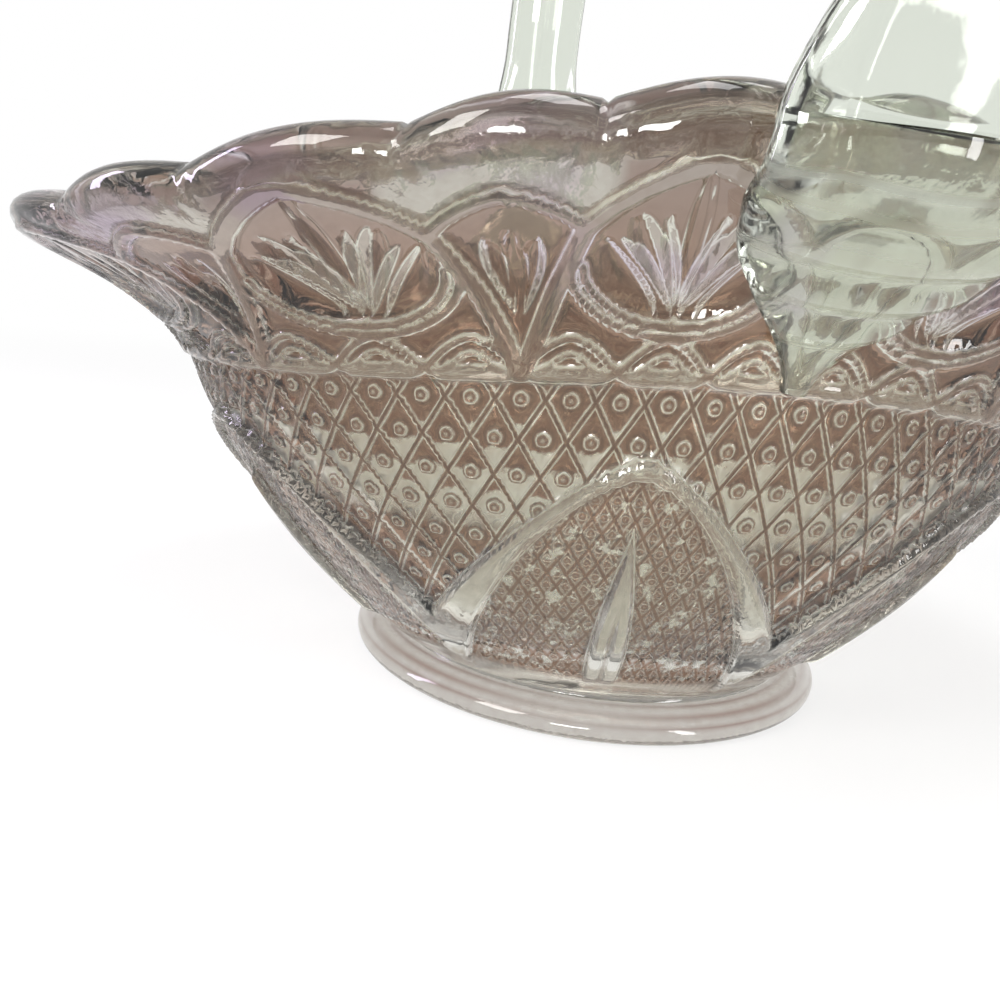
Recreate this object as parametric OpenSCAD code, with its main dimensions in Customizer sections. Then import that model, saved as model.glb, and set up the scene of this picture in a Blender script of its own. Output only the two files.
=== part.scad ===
// Pressed glass basket: a footed bowl, drawn out to an oval at its scalloped rim, with an applied
// arched handle over its narrow way.
// Millimetres, +Z up. The origin is the centre of the foot's underside, and the handle
// stands in the XZ plane, with a root on the wall at each end of the X axis.

/* [Foot] */
// Radius of the foot at its widest
foot_r = 38; // [35:0.5:42]
// Height of the foot, up to the bowl's seat
foot_h = 4.5; // [4:0.5:10]
// Radius of the rounded edge of the foot
foot_edge_r = 2; // [1:0.25:3]
// Radius of the hollow under the foot
recess_r = 28; // [20:0.5:29]
// Depth of the hollow under the foot
recess_depth = 1.5; // [0.5:0.25:2]

/* [Bowl] */
// Radius of the flat bottom of the bowl, where it sits on the foot
seat_r = 32.5; // [28:0.5:34]
// Radius of the wall's belly, the handle of its lower curve
belly_r = 55; // [48:0.5:58]
// Height of the wall's belly over the seat
belly_rise = 20; // [16:0.5:24]
// Mean radius of the plain line between the diamonds and the arches
line_r = 60; // [56:0.5:64]
// Height of that line over the seat
line_rise = 43.5; // [38:0.5:48]
// Mean radius where the wall starts to flare out to the rim
flare_r = 63.5; // [61:0.5:68]
// Height of the start of the flare over the line
flare_rise = 9; // [7:0.5:12]
// Wall thickness, measured level
wall = 4.5; // [3:0.25:6]
// Thickness of the glass under the cavity
floor_t = 6; // [4:0.5:8]

/* [Rim] */
// Mean radius of the rim
rim_r = 79; // [76:0.5:86]
// How far the rim is drawn out at the basket's ends and drawn in at the handle
oval = 9.3; // [0:0.1:12]
// Height of the rim over the line, halfway between its high and low sides
rim_rise = 22.5; // [20:0.5:26]
// Radius of the rounded lip
lip_r = 3; // [2:0.25:4]
// How far the rim climbs to the handle and drops between its roots
saddle = 9; // [0:0.5:12]
// Number of palmettes round the rim, with a narrow scallop between each two
palmettes = 12; // [8:4:16]
// Share of each repeat that the narrow scallop takes
narrow_share = 0.45; // [0.35:0.05:0.5]
// How far a scallop stands out
scallop_out = 1.6; // [0:0.2:2.4]
// How far a scallop stands up
scallop_up = 1.2; // [0:0.2:2]

/* [Pattern] */
// Height of the ribs on the upper wall
rib_h = 0.75; // [0:0.05:1]
// Width of the ribs on the upper wall
rib_w = 2.2; // [1.5:0.1:3]
// Way up the wall, from the line, at which the ribs of a V cross over into palmettes
cross_up = 18.2; // [16:0.2:19]
// Way up the wall to the point of the peak over a V
peak_up = 22.3; // [21:0.1:23]
// Way up the wall to the top of a palmette
palmette_up = 25.6; // [24:0.1:26]
// Way up the wall to the lowest place of the ring under a palmette
ring_up = 5; // [4:0.1:7]
// Height of the ribbons of the large arches on the lower wall
ribbon_h = 1; // [0:0.1:1.2]
// Width of a ribbon at the point of its arch
ribbon_w = 2.6; // [2:0.1:4]
// Way down the wall, from the line, to the point of an arch
arch_top = 7.6; // [6:0.2:12]
// Way down the wall to where two arches meet
arch_meet = 34; // [28:0.5:38]
// Way down the wall to the plain collar over the foot
arch_foot = 46; // [42:0.5:47]

/* [Handle] */
// Height of the handle's crown above the surface that the basket stands on
handle_top = 188; // [170:1:210]
// Height of the handle's widest place above the rim
shoulder_rise = 28; // [16:1:36]
// How far the handle stands out past the rim at its widest place
shoulder_out = 2; // [0:0.5:8]
// Width of the handle along its arch
cane_w = 16; // [10:0.5:18]
// Thickness of the handle along its arch
cane_t = 9; // [7:0.5:12]
// Width of the flattened root on the wall, at the rim
root_w = 31; // [22:0.5:34]
// Thickness of the root
root_t = 6; // [4:0.5:8]
// Height over the line at which the root is at its full width
tail_rise = 20; // [12:0.5:21]
// Width of the root's tail at its end
tail_w = 3; // [2:0.5:8]
// Thickness of the root's tail at its end
tail_t = 2; // [1.5:0.25:4]
// Number of crimps pressed across each root
crimps = 3; // [0:1:5]
// Height over the line at which the crimps start
crimp_rise = 7; // [5:0.5:10]
// How far a crimp stands up between its neighbours
crimp_h = 1; // [0:0.1:1.5]
// Gap between the root and the wall
root_gap = 0.2; // [0.1:0.05:0.4]

/* [Hidden] */

glass_tint = [0.80, 0.74, 0.73, 0.55];
clear_tint = [0.86, 0.90, 0.88, 0.55];

// Resolution: columns round the bowl, twelve to a repeat, steps along its inner curves and its lip,
// steps by which the outer curves are measured, and sides and steps of the handle
columns = palmettes * 12;
curve_steps = 5;
lip_steps = 5;
measure_steps = 40;
cane_sides = 16;
root_steps = 18;
arch_steps = 18;
neck_steps = 4;

floor_z = foot_h + floor_t;
line_z = foot_h + line_rise;
rim_z = line_z + rim_rise;
repeat_angle = 360 / palmettes;

// Middle of the lip's round, the angles where the walls run into it, and where the root leaves it
lip_middle = [rim_r - lip_r, rim_z - lip_r];
lip_from = -60;
lip_to = 150;
root_leaves = 0;

function on_circle(middle, r, angle) = middle + r * [cos(angle), sin(angle)];
function curve(a, b, c, t) = (1 - t) * (1 - t) * a + 2 * t * (1 - t) * b + t * t * c;
function ease(t) = let (k = min(max(t, 0), 1)) k * k * (3 - 2 * k);
function flat(list) = [for (part = list) each part];

// Outer wall as [radius, height]: two curves that meet at the line over the diamonds
function lower_wall(t) =
    curve([seat_r, foot_h], [belly_r, foot_h + belly_rise], [line_r, line_z], t);
function upper_wall(t) =
    curve([line_r, line_z], [flare_r, line_z + flare_rise], on_circle(lip_middle, lip_r, lip_from), t);

// Inner wall, one wall thickness in, down to the flat floor of the cavity
inner_line = [line_r - wall, line_z];
floor_r = seat_r - wall / 2;
function inner_upper(t) =
    curve(on_circle(lip_middle, lip_r, lip_to), [flare_r - wall, line_z + flare_rise], inner_line, t);
function inner_lower(t) =
    curve(inner_line, [belly_r - wall, foot_h + belly_rise + wall / 2], [floor_r, floor_z], t);

// Scallops: narrow ones centred on the handle's plane, wide ones halfway between
narrow_half = repeat_angle * narrow_share / 2;
wide_half = repeat_angle / 2 - narrow_half;
function from_narrow(angle) = abs(angle - repeat_angle * round(angle / repeat_angle));
function scallop(angle) =
    let (a = from_narrow(angle))
    a < narrow_half ? cos(90 * a / narrow_half) : cos(90 * (repeat_angle / 2 - a) / wide_half);

// The share of the rim's own movements that a height of the wall follows: the oval shows from
// low down, and the saddle mostly near the rim
oval_power = 0.4;
saddle_power = 2.5;
function wall_share(z) = max(z - foot_h, 0) / (rim_z - foot_h);
function lip_share(z) = ease((z - (rim_z - rim_rise / 2)) / (rim_rise / 2));
function shaped(p, angle) =
    let (
        lobe = lip_share(p[1]) * (scallop(angle) - 0.5),
        drawn_out = -oval / rim_r * pow(wall_share(p[1]), oval_power) * cos(2 * angle),
        raised = saddle * pow(wall_share(p[1]), saddle_power) * cos(2 * angle)
    )
    [p[0] * (1 + drawn_out) + scallop_out * lobe, p[1] + raised + scallop_up * lobe];
function turned(p, angle) = [p[0] * cos(angle), p[0] * sin(angle), p[1]];

// Ways along the outer wall's two curves, each with the curve's own parameter there
function ways(places) =
    let (last = len(places) - 1)
    [
        for (i = 0, way = 0; i <= last; i = i + 1, way = way + norm(places[min(i, last)] - places[i - 1]))
            [way, i / last]
    ];
lower_ways = ways([for (i = [0 : measure_steps]) lower_wall(i / measure_steps)]);
upper_ways = ways([for (i = [0 : measure_steps]) upper_wall(i / measure_steps)]);
lower_length = lower_ways[measure_steps][0];
upper_length = upper_ways[measure_steps][0];
lip_front = upper_length - lip_r * lip_from * PI / 180;

// A place a way up the outer wall from the line, or down it where the way is negative, and the same
// place raised off the wall
function up_wall(way) =
    way < 0 ? lower_wall(lookup(lower_length + way, lower_ways))
    : way < upper_length ? upper_wall(lookup(way, upper_ways))
    : on_circle(lip_middle, lip_r, lip_from + (way - upper_length) / lip_r * 180 / PI);
function off_wall(way, h) = up_wall(way) + h * away_from(up_wall(way - probe), up_wall(way + probe));

// Ribs of the upper wall: the ways up to their middles, by half repeats from the middle of a V
probe = 0.2;
flank = 0.5;
cross_at = 0.41;
ring_half = 0.68;
ring_drop = 7.5;
half_repeat_w = PI * line_r / palmettes;
function v_rib(t) = cross_up * t / cross_at;
function peak_rib(t) = peak_up - (peak_up - cross_up) * pow(abs(t) / cross_at, 1.5);
function palmette_rib(t) =
    palmette_up - (palmette_up - cross_up) * pow(abs(1 - t) / (1 - cross_at), 1.6);
function ring_rib(t) = ring_up + ring_drop * (1 - sqrt(max(1 - pow((1 - t) / ring_half, 2), 0)));
function low_rib(t) = t < cross_at ? v_rib(t) : ring_rib(t);
function high_rib(t) = t < cross_at ? peak_rib(t) : palmette_rib(t);

// Half the way that a rib takes up the wall, which is more where it climbs
rib_probe = 0.02;
function half_tall(before, after) =
    rib_w / 2 * norm([1, (after - before) / (2 * rib_probe * half_repeat_w)]);

// The outer wall's points above the line at one place of a repeat, as [way, height over the wall]:
// a lower and an upper rib, each with its flanks
function upper_rows(t) =
    let (
        low_half = half_tall(low_rib(t - rib_probe), low_rib(t + rib_probe)),
        high_half = half_tall(high_rib(t - rib_probe), high_rib(t + rib_probe)),
        high_to = min(high_rib(t) + high_half, lip_front - 3 * flank),
        high_from = min(high_rib(t) - high_half, high_to - rib_w / 2),
        low_from = max(low_rib(t) - low_half, 2 * flank),
        low_to = min(low_rib(t) + low_half, high_from - 3 * flank),
        between = low_to < low_rib(t) + low_half ? rib_h : 0,
        end = high_to + flank
    )
    [
        [0, 0], [low_from - flank, 0], [low_from, rib_h], [low_to, rib_h], [low_to + flank, between],
        [high_from - flank, between], [high_from, rib_h], [high_to, rib_h], [end, 0],
        [(end + lip_front) / 2, 0]
    ];

// The outer wall's points below the line, the share of half an arch away from its middle: the ribbon
// with its flanks, and plain wall under and over it
arches = palmettes / 2;
arch_open = 0.94;
function from_arch(angle) =
    let (step = 360 / arches, a = angle + repeat_angle / 2) abs(a - step * round(a / step)) / (step / 2);
function lower_rows(share) =
    let (
        foot = min(arch_foot, lower_length - 2 * flank),
        over = arch_top + (arch_meet - arch_top) * pow(share, 1.36),
        inner_top = arch_top + ribbon_w,
        under = min(inner_top + (foot - inner_top) * pow(share / arch_open, 1.72), foot),
        start = lower_length - under - flank
    )
    [
        [-lower_length, 0], [start / 3 - lower_length, 0], [start * 2 / 3 - lower_length, 0],
        [-under - flank, 0], [-under, ribbon_h], [-over, ribbon_h], [-over + flank, 0],
        [(flank - over) / 2, 0]
    ];

// The wall stays plain where a root of the handle lies on it
root_clear = 3;
function bare(p, angle) =
    p[1] < line_z || abs(p[0] * sin(angle)) > root_half_w(shaped(p, angle)[1] - root_low) + root_clear;

// The wall's section in one direction, from the seat up the outside, over the lip and down the inside
function wall_rows(angle) =
    concat(lower_rows(from_arch(angle)), upper_rows(from_narrow(angle) * 2 / repeat_angle));
function section(angle) = flat([
    [for (row = wall_rows(angle)) off_wall(row[0], bare(up_wall(row[0]), angle) ? row[1] : 0)],
    [for (i = [0 : lip_steps]) on_circle(lip_middle, lip_r, lip_to * i / lip_steps)],
    [for (i = [1 : curve_steps]) inner_upper(i / curve_steps)],
    [for (i = [1 : curve_steps]) inner_lower(i / curve_steps)]
]);

// Faces of a stack of equal rings, closed by a flat face at each end
function ring_faces(rings, sides) = flat([
    for (i = [0 : rings - 2]) flat([
        for (j = [0 : sides - 1])
            let (a = i * sides + j, b = i * sides + (j + 1) % sides)
            [[a, a + sides, b], [b, a + sides, b + sides]]
    ])
]);
function end_faces(rings, sides) = [
    [for (j = [0 : sides - 1]) j],
    [for (j = [sides - 1 : -1 : 0]) (rings - 1) * sides + j]
];

module bowl() {
    angles = [for (j = [0 : columns - 1]) 360 * j / columns];
    sections = [for (angle = angles) section(angle)];
    rings = len(sections[0]);
    color(glass_tint)
        polyhedron(
            points = [
                for (i = [0 : rings - 1], j = [0 : columns - 1])
                    turned(shaped(sections[j][i], angles[j]), angles[j])
            ],
            faces = concat(ring_faces(rings, columns), end_faces(rings, columns)),
            convexity = 6
        );
}

module foot() {
    color(clear_tint)
        rotate_extrude($fn = 96)
            difference() {
                hull() {
                    square([foot_r - foot_edge_r, foot_edge_r]);
                    translate([foot_r - foot_edge_r, foot_edge_r]) circle(foot_edge_r, $fn = 32);
                    translate([0, foot_h - foot_edge_r]) square([seat_r, foot_edge_r]);
                }
                translate([0, -1]) square([recess_r, recess_depth + 1]);
            }
}

// The outside of the wall in the handle's plane, up to and round the lip, as [radius, height],
// and how far the wall falls back from that plane's front to a place beside it
function wall_mean(t) =
    t < 1 ? upper_wall(t) : on_circle(lip_middle, lip_r, lip_from + (root_leaves - lip_from) * (t - 1));
function wall_place(t) = shaped(wall_mean(t), 0);
function wall_dip(mean, y) =
    let (front = shaped(mean, 0)[0], angle = asin(y / front)) front - shaped(mean, angle)[0] * cos(angle);
function away_from(a, b) = let (d = (b - a) / norm(b - a)) [d[1], -d[0]];
function wall_normal(t) = away_from(wall_place(t - 0.02), wall_place(t + 0.02));

// How wide and thick the root is at a height over the line, with its crimps
root_low = wall_place(0)[1];
root_top = wall_place(1)[1] - root_low;
function root_share(h) = ease(h / tail_rise);
function crimp(h) =
    let (t = (h - crimp_rise) / (root_top - crimp_rise))
    t < 0 || t > 1 ? 0 : (1 - cos(360 * crimps * t)) / 2;
function root_half_w(h) = (tail_w + (root_w - tail_w) * root_share(h)) / 2;
function root_half_t(h) = (tail_t + (root_t - tail_t) * root_share(h) + crimp_h * crimp(h)) / 2;

// A place along the handle: [centre, half width, half thickness, how closely it follows the wall,
// the wall's mean place there]
function root_place(t) =
    let (p = wall_place(t), h = p[1] - root_low, half_t = root_half_t(h))
    [p + wall_normal(t) * (half_t + root_gap), root_half_w(h), half_t, 1, wall_mean(t)];
function neck_place(t) =
    let (k = ease(t))
    [
        curve(root_end[0], [shoulder_x, root_end[0][1] + shoulder_rise / 3], [shoulder_x, shoulder_z], t),
        root_end[1] + (cane_w / 2 - root_end[1]) * k,
        root_end[2] + (cane_t / 2 - root_end[2]) * k,
        1 - k,
        root_end[4]
    ];
function arch_place(angle) =
    let (p = [shoulder_x * cos(angle), shoulder_z + crown_rise * sin(angle)])
    [p, cane_w / 2, cane_t / 2, 0, root_end[4]];

root_end = root_place(2);
shoulder_x = wall_place(2)[0] + shoulder_out + cane_t / 2;
shoulder_z = rim_z + saddle + shoulder_rise;
crown_rise = handle_top - cane_t / 2 - shoulder_z;
half_handle = flat([
    [for (i = [0 : root_steps]) root_place(0.02 + (2 - 0.02) * i / root_steps)],
    [for (i = [1 : neck_steps]) neck_place(i / neck_steps)],
    [for (i = [1 : arch_steps]) arch_place(90 * i / arch_steps)]
]);
function mirrored(place) = [[-place[0][0], place[0][1]], place[1], place[2], place[3], place[4]];
whole_handle = concat(
    half_handle,
    [for (i = [len(half_handle) - 2 : -1 : 0]) mirrored(half_handle[i])]
);

// One ring of the handle: round in front, and hugging the wall behind where it is a root
function bent(v, power) = sign(v) * pow(abs(v), power);
function cane_ring(place, normal) = [
    for (j = [0 : cane_sides - 1])
        let (
            angle = 360 * j / cane_sides,
            back = sin(angle) < 0 ? place[3] : 0,
            y = -place[1] * cos(angle),
            hug = place[3] > 0 ? place[3] * wall_dip(place[4], y) * abs(normal[0]) : 0,
            p = place[0] + normal * (place[2] * bent(sin(angle), 1 - back / 2) - hug)
        )
        [p[0], y, p[1]]
];

module handle() {
    last = len(whole_handle) - 1;
    rings = [
        for (i = [0 : last])
            let (before = whole_handle[max(i - 1, 0)][0], after = whole_handle[min(i + 1, last)][0])
            cane_ring(whole_handle[i], away_from(before, after))
    ];
    color(clear_tint)
        polyhedron(
            points = flat(rings),
            faces = concat(ring_faces(len(rings), cane_sides), end_faces(len(rings), cane_sides)),
            convexity = 6
        );
}

bowl();
foot();
handle();
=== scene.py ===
"""Looks of a pressed glass basket: a relief-patterned oval bowl on a plain foot, with an applied handle."""

import math

import bmesh
import bpy
import numpy as np
from mathutils import Euler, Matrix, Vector


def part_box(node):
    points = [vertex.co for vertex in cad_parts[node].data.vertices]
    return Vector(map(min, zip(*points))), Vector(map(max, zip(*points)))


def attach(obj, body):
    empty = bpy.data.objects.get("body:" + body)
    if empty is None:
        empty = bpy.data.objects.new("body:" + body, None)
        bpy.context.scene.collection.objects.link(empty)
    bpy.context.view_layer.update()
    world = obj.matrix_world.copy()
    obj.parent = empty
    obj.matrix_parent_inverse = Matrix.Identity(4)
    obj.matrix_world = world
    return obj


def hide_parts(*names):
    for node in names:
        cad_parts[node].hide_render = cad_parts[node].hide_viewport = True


bl_info = {
    "name": "Pressed glass basket",
    "version": (1, 0, 0),
    "blender": (4, 5, 0),
    "location": "View3D > Sidebar > Basket",
    "description": "Builds a handled basket of pressed glass, its handle and its studio",
    "category": "Object",
}

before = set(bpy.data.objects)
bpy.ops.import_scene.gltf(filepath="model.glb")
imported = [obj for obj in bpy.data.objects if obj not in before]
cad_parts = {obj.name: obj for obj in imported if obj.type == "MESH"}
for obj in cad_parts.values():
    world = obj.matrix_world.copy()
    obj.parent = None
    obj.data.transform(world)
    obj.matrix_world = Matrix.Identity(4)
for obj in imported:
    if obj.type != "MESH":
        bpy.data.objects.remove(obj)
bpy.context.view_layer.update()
MM = 0.001

FOOT_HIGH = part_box("foot")[1]
HANDLE_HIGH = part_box("handle")[1]


def length(name, description, default, lowest=0.0):
    """A size in metres that a user can change."""
    return bpy.props.FloatProperty(
        name=name, description=description, default=default, min=lowest, unit="LENGTH", precision=5
    )


def colour(name, description, default):
    """A colour that a user can change."""
    return bpy.props.FloatVectorProperty(
        name=name, description=description, default=default, size=3, min=0.0, max=1.0, subtype="COLOR"
    )


class BasketBowl(bpy.types.PropertyGroup):
    """Sizes of the bowl and its foot, the same as the solids'."""

    foot_radius: length("Foot radius", "Radius of the foot at its widest", FOOT_HIGH.x)
    foot_height: length("Foot height", "Height of the foot, up to the bowl's seat", FOOT_HIGH.z)
    foot_edge: length("Foot edge", "Radius of the foot's rounded edge", 2 * MM)
    recess_radius: length("Hollow radius", "Radius of the hollow under the foot", 28 * MM)
    recess_depth: length("Hollow depth", "Depth of the hollow under the foot", 1.5 * MM)
    seat_radius: length("Seat radius", "Radius of the bowl where it sits on the foot", 32.5 * MM)
    belly_radius: length("Belly radius", "Handle of the lower wall's curve, outwards", 55 * MM)
    belly_rise: length("Belly rise", "Handle of the lower wall's curve, over the seat", 20 * MM)
    line_radius: length("Line radius", "Mean radius of the line over the diamonds", 60 * MM)
    line_rise: length("Line rise", "Height of that line over the seat", 43.5 * MM)
    flare_radius: length("Flare radius", "Handle of the upper wall's curve, outwards", 63.5 * MM)
    flare_rise: length("Flare rise", "Handle of the upper wall's curve, over the line", 9 * MM)
    wall: length("Wall", "Wall thickness, measured level", 4.5 * MM)
    floor: length("Floor", "Thickness of the glass under the cavity", 6 * MM)
    rim_radius: length("Rim radius", "Mean radius of the rim", 78.97 * MM)
    rim_rise: length("Rim rise", "Mean height of the rim over the line", 22.5 * MM)
    lip: length("Lip radius", "Radius of the rounded lip", 3 * MM)
    oval: length("Oval", "How far the rim is drawn out at the ends and in at the handle", 9.3 * MM)
    saddle: length("Saddle", "How far the rim climbs to the handle and drops at the ends", 9 * MM)
    scallop_out: length("Scallop out", "How far a scallop stands out", 1.6 * MM)
    scallop_up: length("Scallop up", "How far a scallop stands up", 1.2 * MM)


class BasketPattern(bpy.types.PropertyGroup):
    """Depths of the pressed relief."""

    rib: length("Ribs", "Height of the arch and palmette ribs", 0.75 * MM)
    petal: length("Petals", "Depth of the petals' hollows", 0.8 * MM)
    diamond: length("Diamonds", "Depth of a diamond between its ridges", 0.75 * MM)
    button: length("Buttons", "Height of the button in a diamond", 0.6 * MM)
    ribbon: length("Arches", "Height of the large arches' ribbons", 1.0 * MM)
    flute: length("Flutes", "Depth of the flutes below the rim's pinches", 0.5 * MM)


class BasketHandle(bpy.types.PropertyGroup):
    """Sizes of the applied handle, the same as the solid's."""

    top: length("Top", "Height of the handle's crown", HANDLE_HIGH.z)
    shoulder_rise: length("Shoulder rise", "Height of the widest place over the rim", 28 * MM)
    shoulder_out: length("Shoulder out", "How far the widest place stands past the rim", 2 * MM)
    width: length("Cane width", "Width of the cane along the arch", 16 * MM)
    thickness: length("Cane thickness", "Thickness of the cane along the arch", 9 * MM)
    root_width: length("Root width", "Width of the flattened root at the rim", HANDLE_HIGH.y * 2)
    root_thickness: length("Root thickness", "Thickness of the root", 6 * MM)
    tail_rise: length("Tail rise", "Height over the line at which the root is widest", 20 * MM)
    tail_width: length("Tail width", "Width of the tail at its end", 3 * MM)
    tail_thickness: length("Tail thickness", "Thickness of the tail at its end", 2 * MM)
    crimp_rise: length("Crimp rise", "Height over the line at which the crimps start", 7 * MM)
    crimp: length("Crimp", "How far a crimp stands up", 0.8 * MM)
    gap: length("Gap", "Gap between the root and the wall", 0.2 * MM)


class BasketGlass(bpy.types.PropertyGroup):
    """Colours of the glass, of its painted highlights, reflections and shade, and how it bends light."""

    body: colour("Body", "Smoky brown of the pressed wall's ground", (0.148, 0.062, 0.032))
    # Painted shade: darker brown along the edges of ribs and ridges and on the bowl towards the handle
    painted_shade: colour("Painted shade", "Darker brown along the edges of ribs and ridges", (0.055, 0.026, 0.014))
    smoke: colour("Smoke", "Greyer brown of the lip and the foot", (0.15, 0.096, 0.085))
    # Pale glass, also the colour of the painted highlights on edges, facets, lip and arches
    pale: colour("Pale", "Clear grey green of ribs, ridges, lip and foot", (0.87, 0.88, 0.78))
    # Painted lavender highlights in the pale glass near the rim
    lavender_highlight: colour("Lavender highlight", "Faint lavender in the pale glass near the rim", (0.74, 0.63, 0.84))
    handle: colour("Handle", "Clear grey green of the applied handle", (0.70, 0.74, 0.66))
    ior: bpy.props.FloatProperty(name="IOR", description="Refraction of soda glass", default=1.5)


class BasketStage(bpy.types.PropertyGroup):
    """The camera, the floor and the lamps."""

    camera_place: bpy.props.FloatVectorProperty(
        name="Camera place",
        description="Where the camera stands",
        default=(0.1526, -0.0550, 0.0609),
        subtype="TRANSLATION",
    )
    camera_turn: bpy.props.FloatVectorProperty(
        name="Camera turn",
        description="How the camera is turned",
        default=(math.radians(76.84), math.radians(-6.43), math.radians(77.53)),
        subtype="EULER",
    )
    lens: bpy.props.FloatProperty(
        name="Lens", description="Focal length in mm, on a 36 mm frame", default=36.0
    )
    floor_half: length("Floor", "Half the floor's side", 3.0)
    floor_colour: colour("Floor colour", "Colour of the floor", (0.9, 0.9, 0.9))


PALMETTES = 12
BIG_ARCHES = 6
SMALL_ARCHES = 36
DIAMONDS = 66
REPEAT = 360 / PALMETTES
HALF_REPEAT = REPEAT / 2
NARROW_SHARE = 0.45
OVAL_POWER = 0.4
SADDLE_POWER = 2.5
LIP_FROM, LIP_TO = math.radians(-60), math.radians(150)
SHOULDER_SEAT = 0.3
HOLLOW_POWER = 4

# Rings and columns of the bowl's meshes, and the points that its curves are measured by
FINE_COLUMNS, PLAIN_COLUMNS = 792, 132
FINE_STEP = 0.58
RINGS_IN_ROW = 5
COLLAR_RINGS, LIP_RINGS = 5, 12
LIP_STRETCH = 10
INSIDE_RINGS, FLOOR_RINGS = 14, 6
HOLLOW_RINGS, EDGE_RINGS, SHOULDER_RINGS = 9, 7, 17
CURVE_POINTS, LIP_POINTS = 200, 100
NORMAL_STEP = 0.3


def ease(t):
    """0 to 1 with a level start and end."""
    k = np.clip(t, 0, 1)
    return k * k * (3 - 2 * k)


def rising(value, start, over):
    """0 up to a start, easing to 1 over a stretch."""
    return ease((value - start) / over)


def falling(value, end, over):
    """1 at first, easing to 0 over a stretch that stops at an end."""
    return ease((end - value) / over)


def streaked(value, middle, half):
    """1 at a middle, fading like a bell on both sides."""
    return np.exp(-(((value - middle) / half) ** 2))


def off_repeat(turn):
    """How far a turn is from the nearest whole repeat of the pattern, in degrees."""
    return np.abs(turn - REPEAT * np.round(turn / REPEAT))


def bezier(a, b, c, t):
    """A quadratic curve's points, one for each t."""
    t = np.atleast_1d(t)[:, None]
    return (1 - t) ** 2 * np.array(a) + 2 * t * (1 - t) * np.array(b) + t**2 * np.array(c)


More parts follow.
